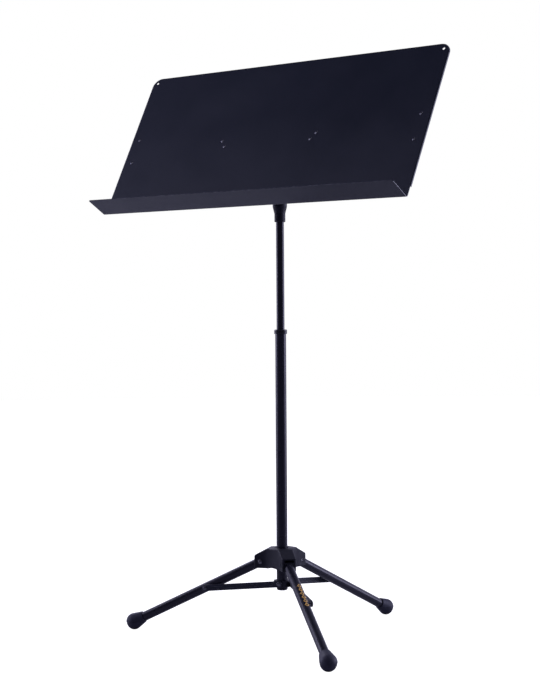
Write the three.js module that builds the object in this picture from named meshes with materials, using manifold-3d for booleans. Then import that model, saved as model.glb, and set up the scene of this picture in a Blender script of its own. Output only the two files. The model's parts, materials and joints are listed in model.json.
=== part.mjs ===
// Orchestra music stand: a folded sheet-steel desk on a tilting head, a two-stage telescopic tube,
// and a tripod that folds as its hub slides up the lower tube. Millimetres, +Z up. The desk faces -Y,
// and the origin is on the floor at the middle of the stand's footprint.
import * as THREE from "three";
import { mergeVertices } from "three/addons/utils/BufferGeometryUtils.js";
import Module from "manifold-3d";

const wasm = await Module();
wasm.setup();

// ---------------------------------------------------------------- driving dimensions

// Clearances between pieces
const GAP = 0.3; // between fixed neighbours, and round a pin in its hole
const SLIDE_GAP = 0.25; // between a tube and what guides it

// Desk: one sheet, with the ledge folded forwards and the rim folded back
const DESK_WIDTH = 730;
const DESK_HEIGHT = 345;
const LEDGE_DEPTH = 58;
const SHEET = 1.2;
const BEND_RADIUS = 5; // outside of the fold between desk and ledge
const DESK_CORNER_RADIUS = 21;
const LEDGE_CORNER_RADIUS = 4;
const RIM_DEPTH = 4.8; // over the sheet and its folded edge
const RIM_START = 25; // the side rims begin this far above the ledge
const DESK_LEAN = 28.8; // degrees back from upright
const HANG_HOLE_RADIUS = 2.8;
const HANG_HOLE_INSET = 13;

// Rivets that hold the bracket and the side stiffeners to the desk
const RIVET_RADIUS = 1.9;
const RIVET_HEAD_OVERLAP = 1.5; // head past the shank
const RIVET_HEAD_HEIGHT = 1.3;
const BRACKET_RIVETS = [
  { name: "inner", across: 105, up: -8.5 },
  { name: "outer", across: 115, up: 5.5 },
];
const EDGE_RIVETS = [
  { name: "lower", up: -30 },
  { name: "upper", up: 27 },
];
const STIFFENER_WIDTH = 20;
const STIFFENER_LIP = 8;
const STIFFENER_SHEET = 1.5;
const STIFFENER_END = 14; // strip beyond each of its rivets
const STIFFENER_INSET = 21.5; // desk's side to the rivet line

// Desk bracket: two wings riveted to the desk, and two ears that hold the tilt bolt
const BRACKET_SHEET = 2;
const EAR_THICKNESS = 2.5;
const EAR_RADIUS = 14;
const BRACKET_HALF_WIDTH = 24;
const BRACKET_BELOW = 30;
const BRACKET_ABOVE = 24;
const WING_END_RADIUS = 9;

// Tilting head
const TILT_UP_DESK = 158; // ledge fold to the tilt axis, along the desk
const TILT_BEHIND_DESK = 45; // desk's back to the tilt axis
const HEAD_RISE = 140; // head's lower end to the tilt axis
const HEAD_WALL = 2.7; // round the socket for the upper tube
const HEAD_SHOULDER_STEP = 3.5; // shoulder past the neck
const HEAD_NECK_LENGTH = 18;
const HEAD_SHOULDER_HEIGHT = 46;
const HEAD_SOCKET_DEPTH = 26;
const BLADE_THICKNESS = 14;
const BLADE_RADIUS = 15;
const WASHER_RADIUS = 13;
const WASHER_THICKNESS = 1.4;
const TILT_BOLT_RADIUS = 4;
const TILT_HEX_RADIUS = 7.5;
const TILT_HEX_HEIGHT = 5.3;
const TILT_BOLT_END = 3;

// Telescopic tube
const LOWER_TUBE_WALL = 1.5; // its radius follows from what slides inside it
const LOWER_TUBE_LENGTH = 515.7;
const TUBE_ABOVE_FLOOR = 100;
const UPPER_TUBE_RADIUS = 8;
const UPPER_TUBE_WALL = 1.5;
const UPPER_TUBE_LENGTH = 515;
const UPPER_TUBE_SHOWN = 215.5; // between the collar and the head, as the stand is set
const COLLAR_WALL = 1.7;
const COLLAR_HEIGHT = 9;
const COLLAR_LIP = 3.5;
const BUSH_WALL = 1;
const BUSH_LENGTH = 36;
const PLUG_LENGTH = 20;
const PLUG_SPIGOT = 16;
const CAP_HEIGHT = 5;
const CAP_PLUG = 14;

// Tripod
const TRIPOD_TURN = -9.3; // degrees, the tripod's turn against the desk
const LEG_SLOPE = 26.2; // degrees below level, with the stand open
const LEG_LENGTH = 306.5; // leg's hinge to the foot's centre
const LEG_RADIUS = 9.5;
const LEG_WALL = 1.2;
const LEG_PIVOT_OUT = 42; // tube's axis to the leg's hinge
const TONGUE_PLAY = 1.3; // between the tongue and the hub's ear, on each side
const TONGUE_LENGTH = 12;
const TONGUE_PLUG = 20;
const FOOT_RADIUS = 17.4;
const FOOT_FLAT = 0.7; // how much of the foot's ball its flat takes off
const FOOT_COLLAR_WALL = 2.2;
const FOOT_COLLAR_LENGTH = 24; // from the ball's centre
const FOOT_WALL_AT_END = 12;

// Hub
const HUB_BOSS_RADIUS = 26.5;
const HUB_TOP = 28; // above the leg hinges
const HUB_BOTTOM = 13; // below them
const HUB_REACH = 54.5;
const HUB_SLOT_OVER = 1.1; // slot's roof above the leg
const HUB_ARM_ROOF = 2.4; // roof's thickness at the arm's end
const HUB_EAR = 4.7;
const HUB_PANEL_START = 30; // where the side panels leave the ears
const HINGE_PIN_RADIUS = 2.5;
const HINGE_HEAD_OVERLAP = 2; // head past the shank
const HINGE_HEAD_HEIGHT = 1.8;
const LOCK_UP = 7; // above the leg hinges
const LOCK_BOSS_WALL = 5.7;
const LOCK_BOSS_REACH = 31;
const LOCK_SCREW_RADIUS = 3;
const LOCK_KNOB_RADIUS = 12;
const LOCK_KNOB_LENGTH = 14;
const LOCK_KNOB_LOBES = 6;

// Braces
const BRACE_ON_LEG = 130.4; // leg's hinge to the brace's rivet, along the leg
const BRACE_HALF_HEIGHT = 6.25;
const BRACE_THICKNESS = 2.6;
const RING_PIN_OUT = 3;
const RING_PIN_UP = 8.5; // above the lower tube's end
const RING_HEIGHT = 14;
const RING_WALL = 1.9; // at each flat
const RING_LOBE = 3.8; // between the flats, past them

// Facets round a turned piece
const ROUND = 24;
const SMALL_ROUND = 12;

// ---------------------------------------------------------------- places that follow from them

const rad = THREE.MathUtils.degToRad;
const tubeBottom = TUBE_ABOVE_FLOOR;
const tubeTop = tubeBottom + LOWER_TUBE_LENGTH;
const tubeInside = UPPER_TUBE_RADIUS + SLIDE_GAP + BUSH_WALL + SLIDE_GAP;
const lowerTubeRadius = tubeInside + LOWER_TUBE_WALL;
const collarRadius = lowerTubeRadius + GAP + COLLAR_WALL;
const collarTop = tubeTop + GAP + COLLAR_LIP;
const headBottom = collarTop + UPPER_TUBE_SHOWN;
const headRadius = UPPER_TUBE_RADIUS + GAP + HEAD_WALL;
const headShoulderRadius = headRadius + HEAD_SHOULDER_STEP;
const tiltHeight = headBottom + HEAD_RISE;
const upperTubeTop = headBottom + HEAD_SOCKET_DEPTH - GAP;
const upperTubeBottom = upperTubeTop - UPPER_TUBE_LENGTH;

const footHeight = FOOT_RADIUS - FOOT_FLAT;
const legPivotHeight = footHeight + LEG_LENGTH * Math.sin(rad(LEG_SLOPE));
const footOut = LEG_PIVOT_OUT + LEG_LENGTH * Math.cos(rad(LEG_SLOPE));
const bracePinOut = LEG_PIVOT_OUT + BRACE_ON_LEG * Math.cos(rad(LEG_SLOPE));
const bracePinHeight = legPivotHeight - BRACE_ON_LEG * Math.sin(rad(LEG_SLOPE));
const ringPinHeight = tubeBottom + RING_PIN_UP;
const ringFlat = lowerTubeRadius + GAP + RING_WALL; // tube's axis to each flat of the ring
const braceInside = ringFlat + GAP;
const hingeHole = HINGE_PIN_RADIUS + GAP;
const hingeHeadRadius = HINGE_PIN_RADIUS + HINGE_HEAD_OVERLAP;
const rivetHeadRadius = RIVET_RADIUS + RIVET_HEAD_OVERLAP;
const legSlotHalf = LEG_RADIUS + GAP; // half the width of the slot between a hub arm's ears
const armHalf = legSlotHalf + HUB_EAR;

const LEGS = [
  { name: "front", azimuth: -30 + TRIPOD_TURN },
  { name: "rear", azimuth: 90 + TRIPOD_TURN },
  { name: "left", azimuth: 210 + TRIPOD_TURN },
];
const lockTurn = rad(LEGS[0].azimuth + 180); // the lock faces away from the front leg

// ---------------------------------------------------------------- materials

const finish = (color, roughness, metalness) =>
  new THREE.MeshStandardMaterial({ color, roughness, metalness });
const powderCoat = () => finish(0x22232f, 0.42, 0.1);
const tubeCoat = () => finish(0x1a1a26, 0.3, 0.15);
const nylon = () => finish(0x17181f, 0.6, 0);
const rubber = () => finish(0x15161c, 0.75, 0);
const blackSteel = () => finish(0x1d1e26, 0.4, 0.7);
const zinc = () => finish(0x9a9ca3, 0.35, 0.9);

// ---------------------------------------------------------------- shaping helpers

// A solid turned about Z from [radius, height] corners that run anticlockwise.
function turned(corners, facets = ROUND) {
  const points = corners.map(([r, h]) => new THREE.Vector2(r, h));
  return new THREE.LatheGeometry(points, facets).rotateX(Math.PI / 2);
}

function rod(radius, from, to, facets = ROUND) {
  return turned([[0, from], [radius, from], [radius, to], [0, to]], facets);
}

function pipe(inner, outer, from, to, facets = ROUND) {
  const corners = [[inner, from], [outer, from], [outer, to], [inner, to], [inner, from]];
  return turned(corners, facets);
}

// Corners along an arc, for a turned outline.
function arc(centreR, centreH, radius, fromDegrees, toDegrees, steps) {
  const corners = [];
  for (let i = 0; i <= steps; i++) {
    const a = rad(fromDegrees + ((toDegrees - fromDegrees) * i) / steps);
    corners.push([centreR + radius * Math.cos(a), centreH + radius * Math.sin(a)]);
  }
  return corners;
}

const alongX = (geometry) => geometry.rotateY(Math.PI / 2);
const alongY = (geometry) => geometry.rotateX(-Math.PI / 2);

function polygon(corners) {
  return new THREE.Shape(corners.map(([x, y]) => new THREE.Vector2(x, y)));
}

// An outline pushed along +Z from one height to another.
function pushed(shape, from, to, curveSegments = 6) {
  const depth = to - from;
  const options = { depth, bevelEnabled: false, curveSegments };
  return new THREE.ExtrudeGeometry(shape, options).translate(0, 0, from);
}

function box(x0, x1, y0, y1, z0, z1) {
  const g = new THREE.BoxGeometry(x1 - x0, y1 - y0, z1 - z0);
  return g.translate((x0 + x1) / 2, (y0 + y1) / 2, (z0 + z1) / 2);
}

// An outline drawn in (Y, Z) and pushed along X, and one drawn in (X, Z) and pushed along Y.
const sideways = (shape, from, to, steps) =>
  pushed(shape, from, to, steps).applyMatrix4(
    new THREE.Matrix4().set(0, 0, 1, 0, 1, 0, 0, 0, 0, 1, 0, 0, 0, 0, 0, 1),
  );
const upright = (shape, from, to, steps) =>
  pushed(shape, -to, -from, steps).rotateX(Math.PI / 2);

function solid(geometry) {
  const bare = geometry.index ? geometry.toNonIndexed() : geometry.clone();
  bare.deleteAttribute("normal");
  bare.deleteAttribute("uv");
  const merged = mergeVertices(bare, 1e-4);
  return new wasm.Manifold(
    new wasm.Mesh({
      numProp: 3,
      vertProperties: merged.getAttribute("position").array,
      triVerts: new Uint32Array(merged.index.array),
    }),
  );
}

function shell(manifold) {
  const made = manifold.getMesh();
  const geometry = new THREE.BufferGeometry();
  const position = new THREE.BufferAttribute(new Float32Array(made.vertProperties), 3);
  geometry.setAttribute("position", position);
  geometry.setIndex(new THREE.BufferAttribute(new Uint32Array(made.triVerts), 1));
  const flat = geometry.toNonIndexed();
  flat.computeVertexNormals();
  return flat;
}

// The first geometries joined, less the second ones.
function carve(joined, removed = []) {
  let body = joined.map(solid).reduce((a, b) => a.add(b));
  for (const tool of removed) body = body.subtract(solid(tool));
  return shell(body);
}

function piece(parent, name, geometry, material) {
  const mesh = new THREE.Mesh(geometry, material);
  mesh.name = name;
  parent.add(mesh);
  return mesh;
}

function group(parent, x = 0, y = 0, z = 0) {
  const made = new THREE.Group();
  made.position.set(x, y, z);
  parent.add(made);
  return made;
}

// A blind rivet along Z: domed head, shank and formed tail, for a stack between two faces.
function rivet(front, back) {
  const headFrom = front - GAP;
  const tailFrom = back + GAP;
  const dome = headFrom - RIVET_HEAD_HEIGHT;
  const tail = tailFrom + RIVET_HEAD_HEIGHT;
  return turned([
    [0, dome],
    [rivetHeadRadius * 0.6, dome + RIVET_HEAD_HEIGHT * 0.2],
    [rivetHeadRadius, headFrom],
    [RIVET_RADIUS, headFrom],
    [RIVET_RADIUS, tailFrom],
    [rivetHeadRadius * 0.85, tailFrom],
    [rivetHeadRadius * 0.85, tail],
    [0, tail],
  ], SMALL_ROUND);
}

// A hinge pin along Z, from its plain end to the domed head on a face.
function hingePin(from, face) {
  const shank = [[0, from], [HINGE_PIN_RADIUS, from], [HINGE_PIN_RADIUS, face]];
  return turned([...shank, ...pinHead(face)], SMALL_ROUND);
}

// The domed head, as the last corners of a turned pin.
function pinHead(face) {
  return [
    [hingeHeadRadius, face],
    [hingeHeadRadius, face + HINGE_HEAD_HEIGHT * 0.5],
    [hingeHeadRadius * 0.7, face + HINGE_HEAD_HEIGHT],
    [0, face + HINGE_HEAD_HEIGHT],
  ];
}

// ---------------------------------------------------------------- telescopic tube

function buildLowerTube(stand) {
  const tube = pipe(tubeInside, lowerTubeRadius, tubeBottom, tubeTop);
  piece(stand, "lower_tube", tube, tubeCoat());

  const capTop = tubeBottom - GAP;
  const capBottom = capTop - CAP_HEIGHT;
  const cap = turned([
    [0, capBottom],
    ...arc(lowerTubeRadius - 2.5, capBottom + 2.5, 2.5, -90, 0, 3),
    [lowerTubeRadius, capTop],
    [tubeInside - GAP, capTop],
    [tubeInside - GAP, capTop + CAP_PLUG],
    [0, capTop + CAP_PLUG],
  ]);
  piece(stand, "tube_end_cap", cap, nylon());

  const collarBottom = collarTop - COLLAR_HEIGHT;
  const bore = UPPER_TUBE_RADIUS + SLIDE_GAP;
  const lipBottom = collarTop - COLLAR_LIP;
  const collar = turned([
    [lowerTubeRadius + GAP, collarBottom],
    ...arc(collarRadius - 1, collarBottom + 1, 1, -90, 0, 2),
    ...arc(collarRadius - 1.6, collarTop - 1.6, 1.6, 0, 90, 3),
    [bore, collarTop],
    [bore, lipBottom],
    [lowerTubeRadius + GAP, lipBottom],
    [lowerTubeRadius + GAP, collarBottom],
  ]);
  piece(stand, "clutch_collar", collar, nylon());

  const bush = pipe(bore, tubeInside - SLIDE_GAP, tubeTop - BUSH_LENGTH, tubeTop);
  piece(stand, "guide_bush", bush, nylon());
}

function buildUpperTube(stand) {
  const inside = UPPER_TUBE_RADIUS - UPPER_TUBE_WALL;
  const tube = pipe(inside, UPPER_TUBE_RADIUS, upperTubeBottom, upperTubeTop);
  piece(stand, "upper_tube", tube, tubeCoat());

  const plugTop = upperTubeBottom - GAP;
  const plug = turned([
    [0, plugTop - PLUG_LENGTH],
    [tubeInside - SLIDE_GAP - 1, plugTop - PLUG_LENGTH],
    [tubeInside - SLIDE_GAP, plugTop - PLUG_LENGTH + 2],
    [tubeInside - SLIDE_GAP, plugTop],
    [inside - GAP, plugTop],
    [inside - GAP, plugTop + PLUG_SPIGOT],
    [0, plugTop + PLUG_SPIGOT],
  ]);
  piece(stand, "clutch_plug", plug, nylon());
}

// ---------------------------------------------------------------- tripod

// The hub seen from above: three arms, with a flat panel between each pair.
function hubOutline() {
  const arm = [
    [HUB_PANEL_START, -armHalf],
    [HUB_REACH, -armHalf],
    [HUB_REACH, armHalf],
    [HUB_PANEL_START, armHalf],
  ];
  const corners = [];
  for (const { azimuth } of LEGS) {
    for (const [x, y] of arm) {
      const corner = new THREE.Vector2(x, y).rotateAround(new THREE.Vector2(), rad(azimuth));
      corners.push([corner.x, corner.y]);
    }
  }
  return polygon(corners);
}

function buildHub(hub) {
  const slotFrom = LEG_PIVOT_OUT - LEG_RADIUS - 2.5;
  const past = HUB_REACH + 5;
  const over = HUB_TOP + 5;
  const under = -HUB_BOTTOM - 5;
  const slotRoof = LEG_RADIUS + HUB_SLOT_OVER;
  const fall = (HUB_TOP - slotRoof - HUB_ARM_ROOF) / (HUB_REACH - HUB_BOSS_RADIUS);
  const slopeEnd = HUB_TOP - fall * (past - HUB_BOSS_RADIUS);
  const slope = polygon([
    [HUB_BOSS_RADIUS, HUB_TOP],
    [past, slopeEnd],
    [past, over],
    [HUB_BOSS_RADIUS, over],
  ]);
  const removed = [rod(lowerTubeRadius + GAP, under, over)];
  for (const { azimuth } of LEGS) {
    const arm = [
      box(slotFrom, past, -legSlotHalf, legSlotHalf, under, slotRoof),
      upright(slope, -armHalf - 1, armHalf + 1),
      alongY(rod(hingeHole, -armHalf - 1, armHalf + 1, SMALL_ROUND)).translate(LEG_PIVOT_OUT, 0, 0),
    ];
    removed.push(...arm.map((tool) => tool.rotateZ(rad(azimuth))));
  }
  const lockHole = alongX(rod(LOCK_SCREW_RADIUS + GAP, 0, past, SMALL_ROUND));
  removed.push(lockHole.translate(0, 0, LOCK_UP).rotateZ(lockTurn));
  const bossFrom = lowerTubeRadius + HUB_EAR;
  const bossRadius = LOCK_SCREW_RADIUS + GAP + LOCK_BOSS_WALL;
  const lockBoss = alongX(rod(bossRadius, bossFrom, LOCK_BOSS_REACH, SMALL_ROUND));
  const joined = [
    pushed(hubOutline(), -HUB_BOTTOM, HUB_TOP),
    lockBoss.translate(0, 0, LOCK_UP).rotateZ(lockTurn),
  ];
  piece(hub, "leg_hub", carve(joined, removed), nylon());

  for (const { name, azimuth } of LEGS) {
    const pin = hingePin(-armHalf, armHalf + GAP);
    const placed = alongY(pin).translate(LEG_PIVOT_OUT, 0, 0).rotateZ(rad(azimuth));
    piece(hub, `leg_hinge_pin_${name}`, placed, zinc());
  }
}

function buildHubLock(hub) {
  const lock = group(hub, 0, 0, LOCK_UP);
  lock.rotation.z = lockTurn;
  const knobFrom = LOCK_BOSS_REACH + GAP;
  const knobTo = knobFrom + LOCK_KNOB_LENGTH;
  const screwEnd = knobTo - 4;
  const screw = alongX(rod(LOCK_SCREW_RADIUS, lowerTubeRadius + GAP, screwEnd, SMALL_ROUND));
  piece(lock, "hub_lock_screw", screw, zinc());

  const outline = new THREE.Shape();
  const steps = LOCK_KNOB_LOBES * 6;
  for (let i = 0; i < steps; i++) {
    const a = (2 * Math.PI * i) / steps;
    const r = LOCK_KNOB_RADIUS - 1.2 + 1.2 * Math.cos(LOCK_KNOB_LOBES * a);
    if (i === 0) outline.moveTo(r, 0);
    else outline.lineTo(r * Math.cos(a), r * Math.sin(a));
  }
  const socket = alongX(rod(LOCK_SCREW_RADIUS + GAP, knobFrom - 1, screwEnd + GAP, SMALL_ROUND));
  const knob = carve([alongX(pushed(outline, knobFrom, knobTo))], [socket]);
  piece(lock, "hub_lock_knob", knob, nylon());
}

function buildLeg(hub, name) {
  const leg = group(hub, LEG_PIVOT_OUT, 0, 0);
  leg.rotation.y = rad(LEG_SLOPE);
  const inside = LEG_RADIUS - LEG_WALL;
  const tubeFrom = TONGUE_LENGTH + GAP;
  const tubeTo = LEG_LENGTH - FOOT_WALL_AT_END;
  piece(leg, `leg_tube_${name}`, alongX(pipe(inside, LEG_RADIUS, tubeFrom, tubeTo)), tubeCoat());

  const tongueHalf = legSlotHalf - TONGUE_PLAY;
  const side = new THREE.Shape();
  side.absarc(0, 0, LEG_RADIUS, Math.PI / 2, (3 * Math.PI) / 2, false);
  side.lineTo(TONGUE_LENGTH, -LEG_RADIUS);
  side.lineTo(TONGUE_LENGTH, LEG_RADIUS);
  const tongue = carve(
    [
      upright(side, -tongueHalf, tongueHalf, 10),
      alongX(rod(inside - GAP, TONGUE_LENGTH - 1, TONGUE_LENGTH + TONGUE_PLUG)),
    ],
    [
      alongY(rod(hingeHole, -legSlotHalf, legSlotHalf, SMALL_ROUND)),
    ],
  );
  piece(leg, `leg_tongue_${name}`, tongue, nylon());

  const bore = LEG_RADIUS + GAP;
  const collar = bore + FOOT_COLLAR_WALL;
  const collarFrom = LEG_LENGTH - FOOT_COLLAR_LENGTH;
  const ballFrom = THREE.MathUtils.radToDeg(Math.asin(collar / FOOT_RADIUS)) - 78;
  const boot = turned([
    [0, tubeTo + GAP],
    [bore, tubeTo + GAP],
    [bore, collarFrom],
    [collar - 0.8, collarFrom],
    [collar, collarFrom + 1.5],
    ...arc(0, LEG_LENGTH, FOOT_RADIUS, ballFrom, 90, 7),
  ]);
  const reach = footOut + 2 * FOOT_RADIUS;
  const floor = box(0, reach, -reach, reach, -FOOT_RADIUS, 0)
    .translate(-LEG_PIVOT_OUT, 0, -legPivotHeight)
    .rotateY(-rad(LEG_SLOPE));
  piece(leg, `rubber_foot_${name}`, carve([alongX(boot)], [floor]), rubber());
}

// ---------------------------------------------------------------- braces

function buildRing(stand) {
  const outline = new THREE.Shape();
  const lobe = ringFlat + RING_LOBE;
  const reach = Math.acos(ringFlat / lobe);
  LEGS.forEach(({ azimuth }, i) => {
    const from = rad(azimuth + 90) + reach;
    const to = rad(azimuth + 210) - reach;
    if (i === 0) outline.moveTo(lobe * Math.cos(from), lobe * Math.sin(from));
    outline.absarc(0, 0, lobe, from, to, false);
  });
  const removed = [rod(lowerTubeRadius + GAP, -RING_HEIGHT, RING_HEIGHT)];
  const ring = group(stand, 0, 0, ringPinHeight);
  for (const { name, azimuth } of LEGS) {
    const hole = alongY(rod(hingeHole, 0, lobe + 5, SMALL_ROUND));
    removed.push(hole.translate(RING_PIN_OUT, 0, 0).rotateZ(rad(azimuth)));
    const pin = hingePin(lowerTubeRadius + 2 * GAP, braceInside + BRACE_THICKNESS + GAP);
    const placed = alongY(pin).translate(RING_PIN_OUT, 0, 0).rotateZ(rad(azimuth));
    piece(ring, `brace_ring_pin_${name}`, placed, zinc());
  }
  const body = pushed(outline, -RING_HEIGHT / 2, RING_HEIGHT / 2, 6);
  piece(ring, "brace_ring", carve([body], removed), blackSteel());
}

function buildBrace(stand, name, azimuth) {
  const plane = group(stand);
  plane.rotation.z = rad(azimuth);
  const brace = group(plane, RING_PIN_OUT, 0, ringPinHeight);
  const run = bracePinOut - RING_PIN_OUT;
  const rise = bracePinHeight - ringPinHeight;
  const length = Math.hypot(run, rise);
  brace.rotation.y = -Math.atan2(rise, run);

  const bar = new THREE.Shape();
  bar.absarc(0, 0, BRACE_HALF_HEIGHT, Math.PI / 2, (3 * Math.PI) / 2, false);
  bar.absarc(length, 0, BRACE_HALF_HEIGHT, -Math.PI / 2, Math.PI / 2, false);
  const outside = braceInside + BRACE_THICKNESS;
  const holes = [0, length].map((x) =>
    alongY(rod(hingeHole, 0, outside + 5, SMALL_ROUND)).translate(x, 0, 0),
  );
  const plate = carve([upright(bar, braceInside, outside, 8)], holes);
  piece(brace, `brace_bar_${name}`, plate, powderCoat());

  const face = outside + GAP;
  const spacer = turned([
    [0, LEG_RADIUS + GAP],
    [hingeHeadRadius, LEG_RADIUS + GAP],
    [hingeHeadRadius, braceInside - GAP],
    [HINGE_PIN_RADIUS, braceInside - GAP],
    [HINGE_PIN_RADIUS, face],
    ...pinHead(face),
  ], SMALL_ROUND);
  piece(brace, `brace_rivet_${name}`, alongY(spacer).translate(length, 0, 0), zinc());
}

// ---------------------------------------------------------------- tilting head

function buildHead(stand) {
  const shoulderTop = headBottom + HEAD_SHOULDER_HEIGHT;
  const neckTop = headBottom + HEAD_NECK_LENGTH;
  const body = turned([
    [0, headBottom],
    ...arc(headRadius - 1.5, headBottom + 1.5, 1.5, -90, 0, 2),
    [headRadius, neckTop],
    [headShoulderRadius, neckTop + 12],
    ...arc(headShoulderRadius - 5, shoulderTop - 5, 5, 0, 90, 3),
    [0, shoulderTop],
  ]);
  const side = new THREE.Shape();
  side.moveTo(-headShoulderRadius + 2, shoulderTop - 8);
  side.lineTo(headShoulderRadius - 2, shoulderTop - 8);
  side.absarc(0, tiltHeight, BLADE_RADIUS, 0, Math.PI, false);
  const blade = sideways(side, -BLADE_THICKNESS / 2, BLADE_THICKNESS / 2, 10);
  const socket = rod(UPPER_TUBE_RADIUS + GAP, headBottom - 5, headBottom + HEAD_SOCKET_DEPTH);
  const hole = alongX(rod(TILT_BOLT_RADIUS + GAP, -50, 50, SMALL_ROUND)).translate(0, 0, tiltHeight);
  piece(stand, "tilt_head", carve([body, blade], [socket, hole]), nylon());

  const washerFrom = BLADE_THICKNESS / 2 + GAP;
  const washerTo = washerFrom + WASHER_THICKNESS;
  for (const [name, from, to] of [["right", washerFrom, washerTo], ["left", -washerTo, -washerFrom]]) {
    const washer = alongX(pipe(TILT_BOLT_RADIUS + GAP, WASHER_RADIUS, from, to, SMALL_ROUND));
    piece(stand, `friction_washer_${name}`, washer.translate(0, 0, tiltHeight), nylon());
  }
}

function buildTiltBolt(desk) {
  const grip = BLADE_THICKNESS / 2 + 3 * GAP + WASHER_THICKNESS + EAR_THICKNESS;
  const nutTo = -grip - TILT_HEX_HEIGHT;
  const bolt = carve([
    alongX(rod(TILT_BOLT_RADIUS, nutTo - TILT_BOLT_END, grip + 1, SMALL_ROUND)),
    alongX(rod(TILT_HEX_RADIUS, grip, grip + TILT_HEX_HEIGHT, 6)),
  ]);
  piece(desk, "tilt_bolt", bolt, zinc());
  const hex = alongX(rod(TILT_HEX_RADIUS, nutTo, -grip, 6));
  const bore = alongX(rod(TILT_BOLT_RADIUS + GAP, nutTo - 1, -grip + 1, SMALL_ROUND));
  piece(desk, "tilt_lock_nut", carve([hex], [bore]), zinc());
}

// ---------------------------------------------------------------- desk
// In the desk's group the tilt axis is X, the desk's back lies in a plane at -Y, and +Z is up the desk.

const deskBack = -TILT_BEHIND_DESK;
const deskFront = deskBack - SHEET;
const ledgeUnder = -TILT_UP_DESK;

// A hole through the desk's sheet and what is riveted behind it.
function throughHole(radius, x, z) {
  return alongY(rod(radius, deskFront - 5, deskBack + 12, SMALL_ROUND)).translate(x, 0, z);
}

// The desk seen from the front, from a height up to the top edge, with its two round top corners.
function deskOutline(inset, bottom) {
  const half = DESK_WIDTH / 2 - inset;
  const top = ledgeUnder + DESK_HEIGHT - inset;
  const r = DESK_CORNER_RADIUS - inset;
  const outline = new THREE.Shape();
  outline.moveTo(-half, bottom);
  outline.lineTo(half, bottom);
  outline.absarc(half - r, top - r, r, 0, Math.PI / 2, false);
  outline.absarc(-half + r, top - r, r, Math.PI / 2, Math.PI, false);
  return outline;
}

function deskHoles() {
  const holes = [];
  for (const side of [-1, 1]) {
    const hangX = DESK_WIDTH / 2 - HANG_HOLE_INSET;
    const hangZ = ledgeUnder + DESK_HEIGHT - HANG_HOLE_INSET;
    holes.push(throughHole(HANG_HOLE_RADIUS, side * hangX, hangZ));
    for (const { across, up } of BRACKET_RIVETS) {
      holes.push(throughHole(RIVET_RADIUS + GAP, side * across, up));
    }
    for (const { up } of EDGE_RIVETS) {
      holes.push(throughHole(RIVET_RADIUS + GAP, side * (DESK_WIDTH / 2 - STIFFENER_INSET), up));
    }
  }
  return holes;
}

function buildDeskSheet(desk) {
  const half = DESK_WIDTH / 2;
  const bendUp = ledgeUnder + BEND_RADIUS;
  const bendForward = deskBack - BEND_RADIUS;
  const face = upright(deskOutline(0, bendUp - 0.01), deskFront, deskBack, 6);
  const rimOuter = upright(deskOutline(0, ledgeUnder + RIM_START), deskFront, deskFront + RIM_DEPTH, 6);
  const rimInner = upright(
    deskOutline(SHEET, ledgeUnder + RIM_START - 5),
    deskFront - 1,
    deskFront + RIM_DEPTH + 1,
    6,
  );
  const rim = shell(solid(rimOuter).subtract(solid(rimInner)));

  const fold = new THREE.Shape();
  fold.absarc(bendForward, bendUp, BEND_RADIUS, -Math.PI / 2, 0, false);
  fold.absarc(bendForward, bendUp, BEND_RADIUS - SHEET, 0, -Math.PI / 2, true);
  const bend = sideways(fold, -half, half, 6);

  const front = deskBack - LEDGE_DEPTH;
  const r = LEDGE_CORNER_RADIUS;
  const ledge = new THREE.Shape();
  ledge.moveTo(half, bendForward + 0.01);
  ledge.lineTo(-half, bendForward + 0.01);
  ledge.absarc(-half + r, front + r, r, Math.PI, (3 * Math.PI) / 2, false);
  ledge.absarc(half - r, front + r, r, -Math.PI / 2, 0, false);
  const shelf = pushed(ledge, ledgeUnder, ledgeUnder + SHEET, 4);

  piece(desk, "desk_plate", carve([face, rim, bend, shelf], deskHoles()), powderCoat());
}

function buildStiffeners(desk) {
  const from = deskBack + GAP;
  const to = from + STIFFENER_SHEET;
  const bottom = EDGE_RIVETS[0].up - STIFFENER_END;
  const top = EDGE_RIVETS[EDGE_RIVETS.length - 1].up + STIFFENER_END;
  for (const [name, side] of [["left", -1], ["right", 1]]) {
    const centre = side * (DESK_WIDTH / 2 - STIFFENER_INSET);
    const inner = centre - (side * STIFFENER_WIDTH) / 2;
    const lip = inner + side * STIFFENER_SHEET;
    const halfWidth = STIFFENER_WIDTH / 2;
    const strip = box(centre - halfWidth, centre + halfWidth, from, to, bottom, top);
    const [left, right] = [Math.min(inner, lip), Math.max(inner, lip)];
    const edge = box(left, right, from, from + STIFFENER_LIP, bottom, top);
    const holes = EDGE_RIVETS.map(({ up }) => throughHole(RIVET_RADIUS + GAP, centre, up));
    piece(desk, `side_stiffener_${name}`, carve([strip, edge], holes), powderCoat());
    for (const { name: row, up } of EDGE_RIVETS) {
      const made = alongY(rivet(deskFront, to)).translate(centre, 0, up);
      piece(desk, `edge_rivet_${name}_${row}`, made, blackSteel());
    }
  }
}

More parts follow.
